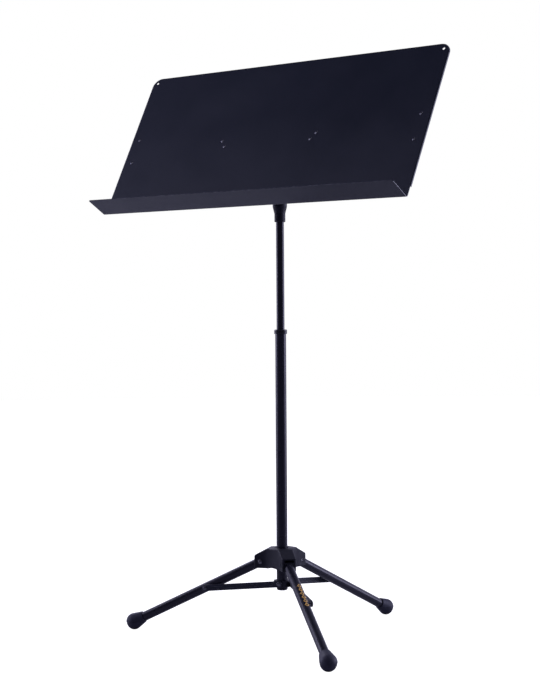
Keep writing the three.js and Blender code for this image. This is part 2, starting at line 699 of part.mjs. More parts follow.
// One wing of the bracket, seen from the front: a tapering arm that ends round its two rivets.
function wing(side, from, to) {
  const [inner, outer] = BRACKET_RIVETS;
  const root = BRACKET_HALF_WIDTH - 4;
  const along = new THREE.Vector2(outer.across - inner.across, outer.up - inner.up).normalize();
  const out = new THREE.Vector2(along.y, -along.x).multiplyScalar(WING_END_RADIUS);
  const corners = [
    [root, -BRACKET_BELOW + 8],
    [inner.across - 0.6 * WING_END_RADIUS, inner.up - 0.8 * WING_END_RADIUS],
    [inner.across + out.x, inner.up + out.y],
    [outer.across + out.x, outer.up + out.y],
    [outer.across - 0.9 * out.x, outer.up - 0.9 * out.y],
    [root, BRACKET_ABOVE],
  ];
  const flat = polygon(side > 0 ? corners : corners.map(([x, z]) => [-x, z]).reverse());
  const discs = BRACKET_RIVETS.map(({ across, up }) =>
    alongY(rod(WING_END_RADIUS, from, to, ROUND)).translate(side * across, 0, up),
  );
  return [upright(flat, from, to), ...discs];
}

function buildBracket(desk) {
  const from = deskBack + GAP;
  const to = from + BRACKET_SHEET;
  const web = box(-BRACKET_HALF_WIDTH, BRACKET_HALF_WIDTH, from, to, -BRACKET_BELOW, BRACKET_ABOVE);
  const joined = [web, ...wing(-1, from, to), ...wing(1, from, to)];
  const earFrom = BLADE_THICKNESS / 2 + 2 * GAP + WASHER_THICKNESS;
  const side = new THREE.Shape();
  side.moveTo(from, BRACKET_ABOVE);
  side.lineTo(from, -BRACKET_BELOW);
  side.absarc(0, 0, EAR_RADIUS, -Math.PI / 3, Math.PI / 3, false);
  for (const x of [earFrom, -earFrom - EAR_THICKNESS]) {
    joined.push(sideways(side, x, x + EAR_THICKNESS, 10));
  }
  const removed = [alongX(rod(TILT_BOLT_RADIUS + GAP, -50, 50, SMALL_ROUND))];
  for (const x of [-1, 1]) {
    for (const { across, up } of BRACKET_RIVETS) {
      removed.push(throughHole(RIVET_RADIUS + GAP, x * across, up));
    }
  }
  piece(desk, "desk_bracket", carve(joined, removed), blackSteel());

  for (const [name, x] of [["left", -1], ["right", 1]]) {
    for (const { name: row, across, up } of BRACKET_RIVETS) {
      const made = alongY(rivet(deskFront, to)).translate(x * across, 0, up);
      piece(desk, `bracket_rivet_${name}_${row}`, made, blackSteel());
    }
  }
}

// ---------------------------------------------------------------- assembly

function buildStand() {
  const whole = new THREE.Group();
  const rearReach = footOut * Math.sin(rad(LEGS[1].azimuth));
  const frontReach = -footOut * Math.sin(rad(LEGS[0].azimuth));
  const stand = group(whole, 0, (frontReach - rearReach) / 2, 0);
  buildLowerTube(stand);
  buildUpperTube(stand);

  const hub = group(stand, 0, 0, legPivotHeight);
  buildHub(hub);
  buildHubLock(hub);
  for (const { name, azimuth } of LEGS) {
    const plane = group(hub);
    plane.rotation.z = rad(azimuth);
    buildLeg(plane, name);
  }

  buildRing(stand);
  for (const { name, azimuth } of LEGS) buildBrace(stand, name, azimuth);

  buildHead(stand);
  const desk = group(stand, 0, 0, tiltHeight);
  desk.rotation.x = -rad(DESK_LEAN);
  buildTiltBolt(desk);
  buildDeskSheet(desk);
  buildStiffeners(desk);
  buildBracket(desk);
  return whole;
}

export default buildStand();
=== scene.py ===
# Orchestra music stand: the finished look of every piece, in the order the stand is put together.
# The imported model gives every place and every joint. Sizes here are in millimetres times MM.
import json
import math

import bpy
from mathutils import Euler, Matrix, Vector


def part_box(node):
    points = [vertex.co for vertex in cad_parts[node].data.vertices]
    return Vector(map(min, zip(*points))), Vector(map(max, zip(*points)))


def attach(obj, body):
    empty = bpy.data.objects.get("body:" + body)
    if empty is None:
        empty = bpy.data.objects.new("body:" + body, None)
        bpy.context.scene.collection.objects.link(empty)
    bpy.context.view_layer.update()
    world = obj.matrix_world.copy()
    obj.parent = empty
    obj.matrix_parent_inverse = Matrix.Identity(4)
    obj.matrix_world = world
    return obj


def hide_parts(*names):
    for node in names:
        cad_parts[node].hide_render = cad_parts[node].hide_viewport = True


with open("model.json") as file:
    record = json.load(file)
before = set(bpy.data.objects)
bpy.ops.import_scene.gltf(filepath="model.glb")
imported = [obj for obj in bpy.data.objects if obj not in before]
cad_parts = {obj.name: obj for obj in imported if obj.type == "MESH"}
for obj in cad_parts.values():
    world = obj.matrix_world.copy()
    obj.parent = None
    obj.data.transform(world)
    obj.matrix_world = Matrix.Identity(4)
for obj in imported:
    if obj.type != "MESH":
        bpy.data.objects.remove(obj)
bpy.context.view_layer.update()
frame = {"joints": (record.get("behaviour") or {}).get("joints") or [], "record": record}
MM = 0.001
joints = {joint["name"]: joint for joint in frame["joints"]}
mounts = {mount["name"]: mount for mount in frame["record"]["mounts"]}


# ---------------------------------------------------------------- floor, light and camera
# A photographer's white room: a pale floor that runs out of view, a surround that is bright behind the
# stand and dark behind the camera, two soft boxes at the sides and three that light floor, top and desk.
pole_x, pole_y = joints["mast_swivel"]["pos_m"][:2]
pole = Matrix.Translation((pole_x, pole_y, 0))
VIEW_TURN = math.radians(35.53)
CAMERA_DISTANCE = 3061.5 * MM
CAMERA_HEIGHT = 645.3 * MM
CAMERA_PAN = math.radians(0.403)
CAMERA_TILT = math.radians(-1.251)
CAMERA_ROLL = math.radians(-0.377)
CAMERA_LENS = 78.38

camera_data = bpy.data.cameras.new("camera")
camera_data.lens = CAMERA_LENS
camera_data.sensor_width = 36
camera_data.clip_end = 60
camera = bpy.data.objects.new("camera", camera_data)
bpy.context.scene.collection.objects.link(camera)
aim = Euler((math.radians(90) + CAMERA_TILT, 0, VIEW_TURN + CAMERA_PAN)).to_matrix().to_4x4()
stand_off = Vector((math.sin(VIEW_TURN), -math.cos(VIEW_TURN), 0)) * CAMERA_DISTANCE
camera_place = Vector((pole_x, pole_y, CAMERA_HEIGHT)) + stand_off
camera.matrix_world = Matrix.Translation(camera_place) @ aim @ Matrix.Rotation(CAMERA_ROLL, 4, "Z")
bpy.context.scene.camera = camera
bpy.context.scene.view_settings.view_transform = "Standard"


def shade(tree, kind, out, inputs=(), **settings):
    """An output socket of a new shader node. Each input is given a value, or a socket that feeds it."""
    node = tree.nodes.new(f"ShaderNode{kind}")
    for label, value in settings.items():
        setattr(node, label, value)
    for label, value in dict(inputs).items():
        if isinstance(value, bpy.types.NodeSocket):
            tree.links.new(value, node.inputs[label])
        else:
            node.inputs[label].default_value = value
    return node.outputs[out] if node.outputs else None


bpy.ops.object.select_all(action="DESELECT")
bpy.ops.mesh.primitive_circle_add(vertices=128, radius=9, fill_type="NGON", location=(0, 0, 0))
floor = bpy.context.object
floor.name = "studio_floor"
floor_paint = bpy.data.materials.new("pale_floor_paint")
floor_paint.use_nodes = True
floor_shader = floor_paint.node_tree.nodes["Principled BSDF"]
floor_shader.inputs["Base Color"].default_value = (0.5, 0.5, 0.54, 1)
floor_shader.inputs["Roughness"].default_value = 0.85
floor_shader.inputs["Specular IOR Level"].default_value = 0.1
floor_shader.inputs["Emission Color"].default_value = (1, 1, 1, 1)
floor_seen = shade(floor_paint.node_tree, "LightPath", "Is Camera Ray")
floor_glow = shade(floor_paint.node_tree, "MapRange", "Result", {"Value": floor_seen})
floor_paint.node_tree.links.new(floor_glow, floor_shader.inputs["Emission Strength"])
floor.data.materials.append(floor_paint)

world = bpy.data.worlds.new("white_room")
bpy.context.scene.world = world
world.use_nodes = True
sky = world.node_tree
sky.nodes.clear()
sky_place = shade(sky, "TexCoord", "Generated")
sky_height = shade(sky, "SeparateXYZ", "Z", {"Vector": sky_place})
sky_colour = shade(sky, "ValToRGB", "Color", {"Fac": sky_height})
sky_steps = sky_colour.node.color_ramp.elements
sky_steps[0].position = 0.12
sky_steps[0].color = (0.72, 0.7, 0.94, 1)
sky_steps[1].position = 0.78
sky_steps[1].color = (0.035, 0.035, 0.055, 1)
sky_ahead = shade(
    sky,
    "VectorMath",
    "Value",
    {0: sky_place, 1: (-math.sin(VIEW_TURN), math.cos(VIEW_TURN), 0)},
    operation="DOT_PRODUCT",
)
sky_strength = shade(
    sky,
    "MapRange",
    "Result",
    {"Value": sky_ahead, "From Min": -0.5, "From Max": 0.5, "To Min": 0.12, "To Max": 1.0},
    interpolation_type="SMOOTHSTEP",
)
sky_light = shade(sky, "Background", "Background", {"Color": sky_colour, "Strength": sky_strength})
sky_seen = shade(sky, "Background", "Background", {"Color": (1, 1, 1, 1)})
sky_path = shade(sky, "LightPath", "Is Camera Ray")
sky_mix = shade(sky, "MixShader", "Shader", {"Fac": sky_path, 1: sky_light, 2: sky_seen})
shade(sky, "OutputWorld", None, {"Surface": sky_mix})


def soft_box(name, place, target, width, height, watts):
    """A rectangular soft box that points at a target."""
    data = bpy.data.lights.new(name, "AREA")
    data.shape = "RECTANGLE"
    data.size, data.size_y = width, height
    data.energy = watts
    data.color = (0.84, 0.83, 1.0)
    lamp = bpy.data.objects.new(name, data)
    bpy.context.scene.collection.objects.link(lamp)
    facing = (Vector(target) - Vector(place)).to_track_quat("-Z", "Y")
    lamp.matrix_world = Matrix.Translation(Vector(place)) @ facing.to_matrix().to_4x4()


soft_box("left_soft_box", (-2.3, -1.0, 1.0), (0, 0, 0.7), 0.9, 2.0, 20)
soft_box("right_soft_box", (1.85, 1.7, 1.05), (0, 0, 0.75), 1.3, 2.2, 34)
soft_box("floor_soft_box", (-1.7, 0.9, 1.3), (-1.25, 0.45, 0), 1.0, 1.0, 14)
soft_box("top_soft_box", (0.9, 1.2, 3.2), (0, 0, 0), 2.2, 2.2, 14)
soft_box("desk_soft_box", (-0.45, -1.15, 1.9), (-0.45, -0.1, 0.95), 2.4, 0.6, 5)


# ---------------------------------------------------------------- lower tube
# Welded steel tube of the stand's foot, powder coated in a smooth semi-gloss black. The hub slides on
# it, and its gloss varies a little where it is handled.
def leave_edit():
    if bpy.context.mode != "OBJECT":
        bpy.ops.object.mode_set(mode="OBJECT")


def one_point(name, place):
    """A new piece that is a single selected point, in edit mode, ready to be extruded."""
    leave_edit()
    bpy.ops.object.select_all(action="DESELECT")
    bpy.ops.mesh.primitive_plane_add(size=MM, location=(0, 0, 0))
    piece = bpy.context.object
    piece.name = name
    piece.data.name = name
    bpy.ops.object.mode_set(mode="EDIT")
    bpy.ops.mesh.select_mode(type="VERT")
    bpy.ops.mesh.select_all(action="SELECT")
    bpy.ops.mesh.merge(type="CENTER")
    bpy.ops.transform.translate(value=place)
    return piece


def extrude_along(places):
    """Extrudes the selected point from place to place."""
    for before, after in zip(places, places[1:]):
        step = Vector(after) - Vector(before)
        bpy.ops.mesh.extrude_region_move(TRANSFORM_OT_translate={"value": step})


def close_mesh():
    """Points every face of the piece in edit mode outwards, and leaves edit mode."""
    bpy.ops.mesh.select_all(action="SELECT")
    bpy.ops.mesh.normals_make_consistent(inside=False)
    leave_edit()


def turn(name, corners, steps=72):
    """A piece turned about Z: a line through (radius, height) corners, spun full circle and closed."""
    places = [(radius, 0, height) for radius, height in corners]
    piece = one_point(name, places[0])
    extrude_along(places)
    bpy.ops.mesh.select_all(action="SELECT")
    bpy.ops.mesh.spin(steps=steps, angle=math.tau, center=(0, 0, 0), axis=(0, 0, 1))
    bpy.ops.mesh.select_all(action="SELECT")
    bpy.ops.mesh.remove_doubles(threshold=0.002 * MM)
    close_mesh()
    return piece


def arc(radius_at, height_at, size, start, stop, steps=6):
    """(radius, height) corners along an arc, from one angle to another in degrees."""
    angles = [math.radians(start + (stop - start) * i / steps) for i in range(steps + 1)]
    return [(radius_at + size * math.cos(a), height_at + size * math.sin(a)) for a in angles]


def select_only(piece):
    leave_edit()
    bpy.ops.object.select_all(action="DESELECT")
    piece.select_set(True)
    bpy.context.view_layer.objects.active = piece


def apply_modifier(piece, kind, **values):
    """Adds a modifier with these settings to a piece, and applies it."""
    select_only(piece)
    modifier = piece.modifiers.new(kind.lower(), kind)
    for label, value in values.items():
        setattr(modifier, label, value)
    bpy.ops.object.modifier_apply(modifier=modifier.name)
    return piece


def place_piece(piece, matrix):
    """Puts a piece in its place in the stand, and keeps that place in its mesh."""
    select_only(piece)
    piece.matrix_world = matrix
    bpy.ops.object.transform_apply(location=True, rotation=True, scale=True)
    return piece


SMOOTH_BELOW = math.radians(32)


def settle(piece, place, body, slot, material, *nodes):
    """Puts a finished piece in its place, gives it its body and material, and hides its CAD nodes. slot: not
    used.
    """
    place_piece(piece, place)
    bpy.ops.object.shade_smooth_by_angle(angle=SMOOTH_BELOW)
    apply_modifier(piece, "WEIGHTED_NORMAL", keep_sharp=True)
    piece.data.materials.clear()
    piece.data.materials.append(material)
    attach(piece, body)
    if nodes:
        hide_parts(*nodes)
    return piece


def new_group(name, inputs, outputs):
    """An empty shader node group with (name, value) number inputs and named number outputs."""
    group = bpy.data.node_groups.new(name, "ShaderNodeTree")
    for label, value in inputs:
        socket = group.interface.new_socket(label, in_out="INPUT", socket_type="NodeSocketFloat")
        socket.default_value = value
    for label in outputs:
        group.interface.new_socket(label, in_out="OUTPUT", socket_type="NodeSocketFloat")
    return group, group.nodes.new("NodeGroupInput"), group.nodes.new("NodeGroupOutput")


# Orange peel and pores of a coat or a moulding: a height from two sizes of noise.
grain_group, grain_in, grain_out = new_group(
    "fine_grain", [("Scale", 900.0), ("Roundness", 0.5)], ["Height"]
)
grain_where = {"Vector": shade(grain_group, "TexCoord", "Object"), "Scale": grain_in.outputs["Scale"]}
grain_fine = shade(grain_group, "TexNoise", "Fac", {**grain_where, "Detail": 3})
grain_cells = shade(grain_group, "TexVoronoi", "Distance", grain_where, feature="SMOOTH_F1")
grain_height = shade(
    grain_group,
    "Mix",
    "Result",
    {"Factor": grain_in.outputs["Roundness"], "A": grain_fine, "B": grain_cells},
)
grain_group.links.new(grain_height, grain_out.inputs["Height"])

# Handling marks: slow patches that change the gloss, between a low and a high value.
patch_group, patch_in, patch_out = new_group(
    "handling_patches", [("Scale", 14.0), ("Low", 0.3), ("High", 0.45)], ["Value"]
)
patch_place = shade(patch_group, "TexCoord", "Object")
patch_noise = shade(patch_group, "TexNoise", "Fac", {
    "Vector": patch_place,
    "Scale": patch_in.outputs["Scale"],
    "Detail": 7,
    "Roughness": 0.62,
})
patch_value = shade(patch_group, "MapRange", "Result", {
    "Value": patch_noise,
    "From Min": 0.32,
    "From Max": 0.7,
    "To Min": patch_in.outputs["Low"],
    "To Max": patch_in.outputs["High"],
})
patch_group.links.new(patch_value, patch_out.inputs["Value"])

# Edge wear and painted edge highlight: a mask where the surface turns sharply, broken up by noise. It gives
# worn edges, and on the satin desk coat also a painted highlight of lit rims.
edge_group, edge_in, edge_out = new_group("edge_wear_and_highlight", [("Width", 0.8 * MM), ("Amount", 0.5)], ["Mask"])
edge_round = shade(edge_group, "Bevel", "Normal", {"Radius": edge_in.outputs["Width"]}, samples=6)
edge_true = shade(edge_group, "NewGeometry", "Normal")
edge_dot = shade(edge_group, "VectorMath", "Value", {0: edge_round, 1: edge_true}, operation="DOT_PRODUCT")
edge_sharp = shade(edge_group, "MapRange", "Result", {"Value": edge_dot, "From Min": 0.985, "From Max": 0.8})
edge_place = shade(edge_group, "TexCoord", "Object")
edge_noise = shade(edge_group, "TexNoise", "Fac", {"Vector": edge_place, "Scale": 160, "Detail": 5})
edge_break = shade(edge_group, "MapRange", "Result", {"Value": edge_noise, "From Min": 0.4, "From Max": 0.62})
edge_both = shade(edge_group, "Math", "Value", {0: edge_sharp, 1: edge_break}, operation="MULTIPLY")
edge_mask = shade(
    edge_group,
    "Math",
    "Value",
    {0: edge_both, 1: edge_in.outputs["Amount"]},
    operation="MULTIPLY",
)
edge_group.links.new(edge_mask, edge_out.inputs["Mask"])


def add_group(material, group, **values):
    """The output of a node group that is placed in a material with its own values."""
    return shade(material.node_tree, "Group", 0, values, node_tree=group)


def colour_mix(material, factor, first, second):
    """A colour that goes from the first to the second with a factor socket."""
    first, second = ((*c, 1) if isinstance(c, tuple) else c for c in (first, second))
    return shade(material.node_tree, "Mix", 2, {0: factor, 6: first, 7: second}, data_type="RGBA")


def add_bump(material, height, distance):
    """Adds a bump to a finish, on top of the one that it has."""
    shader = material.node_tree.nodes["Principled BSDF"]
    inputs = {"Height": height, "Distance": distance}
    if shader.inputs["Normal"].links:
        inputs["Normal"] = shader.inputs["Normal"].links[0].from_socket
    bump = shade(material.node_tree, "Bump", "Normal", inputs)
    material.node_tree.links.new(bump, shader.inputs["Normal"])


def base_finish(name, colour, tint, gloss, grain, grain_size, wear_and_highlight_colour, wear_and_highlight_amount, patch_size=14.0):
    """A finish with patchy gloss and colour, a fine bump, and a lighter colour on sharp edges. gloss is (low,
    high) roughness, grain the bump's height, grain_size its scale. The edge colour and its amount stand for
    worn coat, and on the satin desk coat also for a painted highlight where the rims catch the light."""
    material = bpy.data.materials.new(name)
    material.use_nodes = True
    links = material.node_tree.links
    shader = material.node_tree.nodes["Principled BSDF"]
    shader.inputs["Specular Tint"].default_value = (0.78, 0.77, 1.0, 1)
    patches = add_group(material, patch_group, Scale=patch_size, Low=gloss[0], High=gloss[1])
    links.new(patches, shader.inputs["Roughness"])
    tone = add_group(material, patch_group, Scale=patch_size * 0.6, Low=0.0, High=1.0)
    # Sharp edges take a lighter colour: worn coat, and on the satin desk coat partly a painted highlight.
    edges = add_group(material, edge_group, Width=0.9 * MM, Amount=wear_and_highlight_amount)
    body = colour_mix(material, tone, colour, tint)
    links.new(colour_mix(material, edges, body, wear_and_highlight_colour), shader.inputs["Base Color"])
    add_bump(material, add_group(material, grain_group, Scale=grain_size), grain)
    return material


tube_coat = base_finish(
    "semi_gloss_tube_coat",
    colour=(0.0105, 0.0105, 0.021),
    tint=(0.0145, 0.0138, 0.027),
    gloss=(0.24, 0.34),
    grain=0.02 * MM,
    grain_size=700,
    wear_and_highlight_colour=(0.05, 0.05, 0.06),
    wear_and_highlight_amount=0.5,
)


def turned_box(node):
    """The lowest and highest points and the radius of a CAD node that is turned about Z."""
    low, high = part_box(node)
    return low.z, high.z, (high.x - low.x) / 2


tube_low, tube_high, lower_radius = turned_box("lower_tube")
LOWER_WALL = 1.5 * MM
EDGE = 0.3 * MM
FIT = 0.3 * MM


def tube_corners(radius, wall, start, stop):
    """The closed outline of a tube's wall, with its four edges broken."""
    inner = radius - wall
    return [
        (inner, start + EDGE),
        (inner + EDGE, start),
        (radius - EDGE, start),
        (radius, start + EDGE),
        (radius, stop - EDGE),
        (radius - EDGE, stop),
        (inner + EDGE, stop),
        (inner, stop - EDGE),
        (inner, start + EDGE),
    ]


lower_tube = turn("lower_tube_coated", tube_corners(lower_radius, LOWER_WALL, tube_low, tube_high))
settle(lower_tube, pole, "pole", "coated_tube", tube_coat, "lower_tube")


# ---------------------------------------------------------------- end cap, collar and guide bush
# Plain black acetal: a rounded plug that closes the tube's lower end, the collar that caps its upper
# end, and the bush inside that guides the upper tube. All three are turned and pressed on.
acetal = base_finish(
    "plain_black_acetal",
    colour=(0.008, 0.008, 0.012),
    tint=(0.012, 0.012, 0.017),
    gloss=(0.3, 0.42),
    grain=0.012 * MM,
    grain_size=1100,
    wear_and_highlight_colour=(0.03, 0.03, 0.035),
    wear_and_highlight_amount=0.3,
)

cap_low, cap_high, cap_radius = turned_box("tube_end_cap")
cap_plug = lower_radius - LOWER_WALL - FIT
cap_rim = tube_low - FIT
CAP_ROUND = 3 * MM
end_cap = turn("end_cap_moulded", [
    (0, cap_low),
    *arc(cap_radius - CAP_ROUND, cap_low + CAP_ROUND, CAP_ROUND, -90, 0),
    (cap_radius, cap_rim - 0.4 * MM),
    (cap_radius - 0.4 * MM, cap_rim),
    (cap_plug, cap_rim),
    (cap_plug, cap_high - 1 * MM),
    (cap_plug - 1 * MM, cap_high),
    (0, cap_high),
])
settle(end_cap, pole, "pole", "plain_plastic", acetal, "tube_end_cap")

collar_low, collar_high, collar_radius = turned_box("clutch_collar")
upper_low, upper_high, upper_radius = turned_box("upper_tube")
collar_bore = upper_radius + 0.25 * MM
collar_socket = lower_radius + FIT
lip = tube_high + FIT
GROOVE = 0.5 * MM
collar_middle = (collar_low + collar_high) / 2
collar = turn("clutch_collar_turned", [
    (collar_socket, collar_low + EDGE),
    (collar_socket + EDGE, collar_low),
    *arc(collar_radius - 1 * MM, collar_low + 1 * MM, 1 * MM, -90, 0, 4),
    (collar_radius, collar_middle - GROOVE),
    (collar_radius - GROOVE, collar_middle),
    (collar_radius, collar_middle + GROOVE),
    *arc(collar_radius - 2 * MM, collar_high - 2 * MM, 2 * MM, 0, 90),
    (collar_bore + 2 * EDGE, collar_high),
    (collar_bore, collar_high - 2 * EDGE),
    (collar_bore, lip),
    (collar_socket, lip),
    (collar_socket, collar_low + EDGE),
])
settle(collar, pole, "pole", "plain_plastic", acetal, "clutch_collar")

bush_low, bush_high, bush_radius = turned_box("guide_bush")
bush_corners = tube_corners(bush_radius, bush_radius - collar_bore, bush_low, bush_high)
guide_bush = turn("guide_bush_turned", bush_corners)
settle(guide_bush, pole, "pole", "plain_plastic", acetal, "guide_bush")


# ---------------------------------------------------------------- upper tube and clutch plug
# The thinner tube that slides in the lower one and turns in it. Its coat is polished in long fine
# streaks where the bush rubs. The split plug at its lower end grips the lower tube by friction.
def streak_bump(material, depth, across, along):
    """Adds fine lines along the piece's length to a finish: noise that is stretched along Z."""
    stretched = shade(material.node_tree, "Mapping", "Vector", {
        "Vector": shade(material.node_tree, "TexCoord", "Object"),
        "Scale": (across, across, along),
    })
    lines = shade(material.node_tree, "TexNoise", "Fac", {"Vector": stretched, "Scale": 1, "Detail": 4})
    add_bump(material, lines, depth)


sliding_coat = base_finish(
    "polished_sliding_tube_coat",
    colour=(0.009, 0.009, 0.017),
    tint=(0.014, 0.013, 0.024),
    gloss=(0.2, 0.3),
    grain=0.012 * MM,
    grain_size=600,
    wear_and_highlight_colour=(0.06, 0.06, 0.07),
    wear_and_highlight_amount=0.6,
)
streak_bump(sliding_coat, depth=0.012 * MM, across=1400, along=14)

UPPER_WALL = 1.5 * MM
upper_tube = turn("upper_tube_coated", tube_corners(upper_radius, UPPER_WALL, upper_low, upper_high))
settle(upper_tube, pole, "mast", "coated_tube", sliding_coat, "upper_tube")

plug_low, plug_high, plug_radius = turned_box("clutch_plug")
plug_shoulder = upper_low - FIT
plug_spigot = upper_radius - UPPER_WALL - FIT
PLUG_GROOVE = 0.9 * MM
plug_outline = [(0, plug_low), (plug_radius - 1 * MM, plug_low), (plug_radius, plug_low + 2 * MM)]
for ring in range(3):
    ring_at = plug_low + (5 + 5 * ring) * MM
    plug_outline += [
        (plug_radius, ring_at),
        (plug_radius - PLUG_GROOVE, ring_at + 0.6 * MM),
        (plug_radius - PLUG_GROOVE, ring_at + 1.6 * MM),
        (plug_radius, ring_at + 2.2 * MM),
    ]
plug_outline += [
    (plug_radius, plug_shoulder),
    (plug_spigot, plug_shoulder),
    (plug_spigot, plug_high - 1 * MM),
    (plug_spigot - 1 * MM, plug_high),
    (0, plug_high),
]
clutch_plug = turn("clutch_plug_grooved", plug_outline)
settle(clutch_plug, pole, "height_clutch", "plain_plastic", acetal, "clutch_plug")


# ---------------------------------------------------------------- tilting head
# One moulding of black glass-filled nylon on top of the upper tube: a straight neck, a flared
# shoulder, and a blade with ribs that rises to the tilt bolt between the bracket's ears.
def outline_piece(name, corners, thickness):
    """A flat piece: a line through corners, closed, filled and extruded by a thickness vector."""
    piece = one_point(name, corners[0])
    extrude_along(corners)
    bpy.ops.mesh.select_all(action="SELECT")
    bpy.ops.mesh.edge_face_add()
    bpy.ops.mesh.extrude_region_move(TRANSFORM_OT_translate={"value": thickness})
    close_mesh()
    return piece


def combine(piece, other, operation):
    """Joins another piece to a piece, or cuts or trims the piece with it. The other one goes."""
    apply_modifier(piece, "BOOLEAN", operation=operation, solver="MANIFOLD", object=other)
    bpy.data.objects.remove(other)
    return piece


def join_with(piece, other):
    return combine(piece, other, "UNION")


def cut_with(piece, tool):
    return combine(piece, tool, "DIFFERENCE")


def soften(piece, width, segments=3, angle=28):
    """Rounds every sharp edge of a piece."""
    return apply_modifier(
        piece,
        "BEVEL",
        width=width,
        segments=segments,
        limit_method="ANGLE",
        angle_limit=math.radians(angle),
        use_clamp_overlap=True,
        harden_normals=False,
    )


ALONG_X = Matrix.Rotation(math.radians(90), 4, "Y")
ALONG_Y = Matrix.Rotation(math.radians(-90), 4, "X")


def pin_tool(radius, start, stop, turn_to=Matrix(), at=(0, 0, 0), steps=40):
    """A plain pin that cuts a hole, or joins as a boss."""
    tool = turn("tool", [(0, start), (radius, start), (radius, stop), (0, stop)], steps)
    return place_piece(tool, Matrix.Translation(at) @ turn_to)


def bore(piece, *sizes, **more):
    """Cuts a pin's hole through a piece."""
    return cut_with(piece, pin_tool(*sizes, **more))


def flat_arc(centre, size, start, stop, steps=10):
    """(X, Z) corners along an arc in the XZ plane, from one angle to another in degrees."""
    return arc(centre[0], centre[1], size, start, stop, steps)


nylon = base_finish(
    "glass_filled_nylon",
    colour=(0.009, 0.0095, 0.018),
    tint=(0.013, 0.0135, 0.024),
    gloss=(0.42, 0.58),
    grain=0.05 * MM,
    grain_size=1500,
    wear_and_highlight_colour=(0.035, 0.036, 0.045),
    wear_and_highlight_amount=0.45,
    patch_size=30,
)
nylon.node_tree.nodes["Principled BSDF"].inputs["Specular IOR Level"].default_value = 0.36

head_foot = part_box("tilt_head")[0].z
tilt_axis = Vector(joints["desk_tilt"]["pos_m"])
HEAD_RADIUS = 11 * MM
SHOULDER_RADIUS = 14.5 * MM
neck_top = head_foot + 18 * MM
shoulder_top = head_foot + 46 * MM
SOCKET_DEPTH = 26 * MM
BLADE_RADIUS = 15 * MM
BLADE_HALF = 7 * MM
BLADE_POCKET = 2.2 * MM
RIB = 3.4 * MM
BOLT_HOLE = 4.3 * MM

head = turn("tilt_head_moulded", [
    (0, head_foot),
    *arc(HEAD_RADIUS - 1.2 * MM, head_foot + 1.2 * MM, 1.2 * MM, -90, 0, 4),
    (HEAD_RADIUS, neck_top - 2 * MM),
    (HEAD_RADIUS + 0.5 * MM, neck_top + 1 * MM),
    (SHOULDER_RADIUS - 0.4 * MM, neck_top + 11 * MM),
    (SHOULDER_RADIUS, neck_top + 13.5 * MM),
    *arc(SHOULDER_RADIUS - 6 * MM, shoulder_top - 6 * MM, 6 * MM, 0, 90, 8),
    (0, shoulder_top),
], steps=64)
blade_foot = shoulder_top - 8 * MM
foot_half = SHOULDER_RADIUS - 3 * MM
blade_side = [
    (-foot_half, blade_foot),
    (foot_half, blade_foot),
    *flat_arc((0, tilt_axis.z), BLADE_RADIUS, 0, 180, 24),
]
blade = outline_piece("blade", [(-BLADE_HALF, y, z) for y, z in blade_side], (2 * BLADE_HALF, 0, 0))
pocket_low = shoulder_top + 4 * MM
pocket_high = tilt_axis.z - BLADE_RADIUS - 3 * MM
pocket_half = foot_half - RIB
for side in (-1, 1):
    for front in (-1, 1):
        near, far = front * 1.2 * MM, front * pocket_half
        pocket_side = [(near, pocket_low), (far, pocket_low), (far, pocket_high), (near, pocket_high)]
        pocket_floor = side * (BLADE_HALF - BLADE_POCKET)
        pocket_corners = [(pocket_floor, y, z) for y, z in pocket_side]
        cut_with(blade, outline_piece("pocket", pocket_corners, (side * 2 * BLADE_POCKET, 0, 0)))
join_with(head, blade)
bore(head, upper_radius + FIT, head_foot - 5 * MM, head_foot + SOCKET_DEPTH, steps=64)
bore(head, BOLT_HOLE, -30 * MM, 30 * MM, ALONG_X, (0, 0, tilt_axis.z))
soften(head, 0.7 * MM)
settle(head, pole, "mast", "moulded_nylon", nylon, "tilt_head")


# ---------------------------------------------------------------- tilt bolt, lock nut and washers
# A zinc-plated hexagon bolt through the head, with a thin friction disc on each side of the blade and
# a lock nut with a nylon ring. It is set once, so the desk stays where it is tilted.
zinc = bpy.data.materials.new("turned_zinc_steel")
zinc.use_nodes = True
zinc_links = zinc.node_tree.links
zinc_shader = zinc.node_tree.nodes["Principled BSDF"]
zinc_shader.inputs["Metallic"].default_value = 1.0
zinc_gloss = add_group(zinc, patch_group, Scale=220.0, Low=0.22, High=0.42)
zinc_tone = add_group(zinc, patch_group, Scale=90.0, Low=0.0, High=1.0)
zinc_edges = add_group(zinc, edge_group, Width=0.5 * MM, Amount=0.7)
zinc_body = colour_mix(zinc, zinc_tone, (0.34, 0.35, 0.37), (0.45, 0.45, 0.44))
zinc_links.new(zinc_gloss, zinc_shader.inputs["Roughness"])
zinc_links.new(colour_mix(zinc, zinc_edges, zinc_body, (0.68, 0.68, 0.68)), zinc_shader.inputs["Base Color"])
add_bump(zinc, add_group(zinc, grain_group, Scale=2600.0, Roundness=0.2), 0.015 * MM)

bolt_low, bolt_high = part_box("tilt_bolt")
nut_low, nut_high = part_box("tilt_lock_nut")
HEX_RADIUS = 7.5 * MM
HEX_HEIGHT = 5.3 * MM
BOLT_RADIUS = 4 * MM
THREAD_PITCH = 1.25 * MM
THREAD_DEPTH = 0.45 * MM
DISH = 0.4 * MM


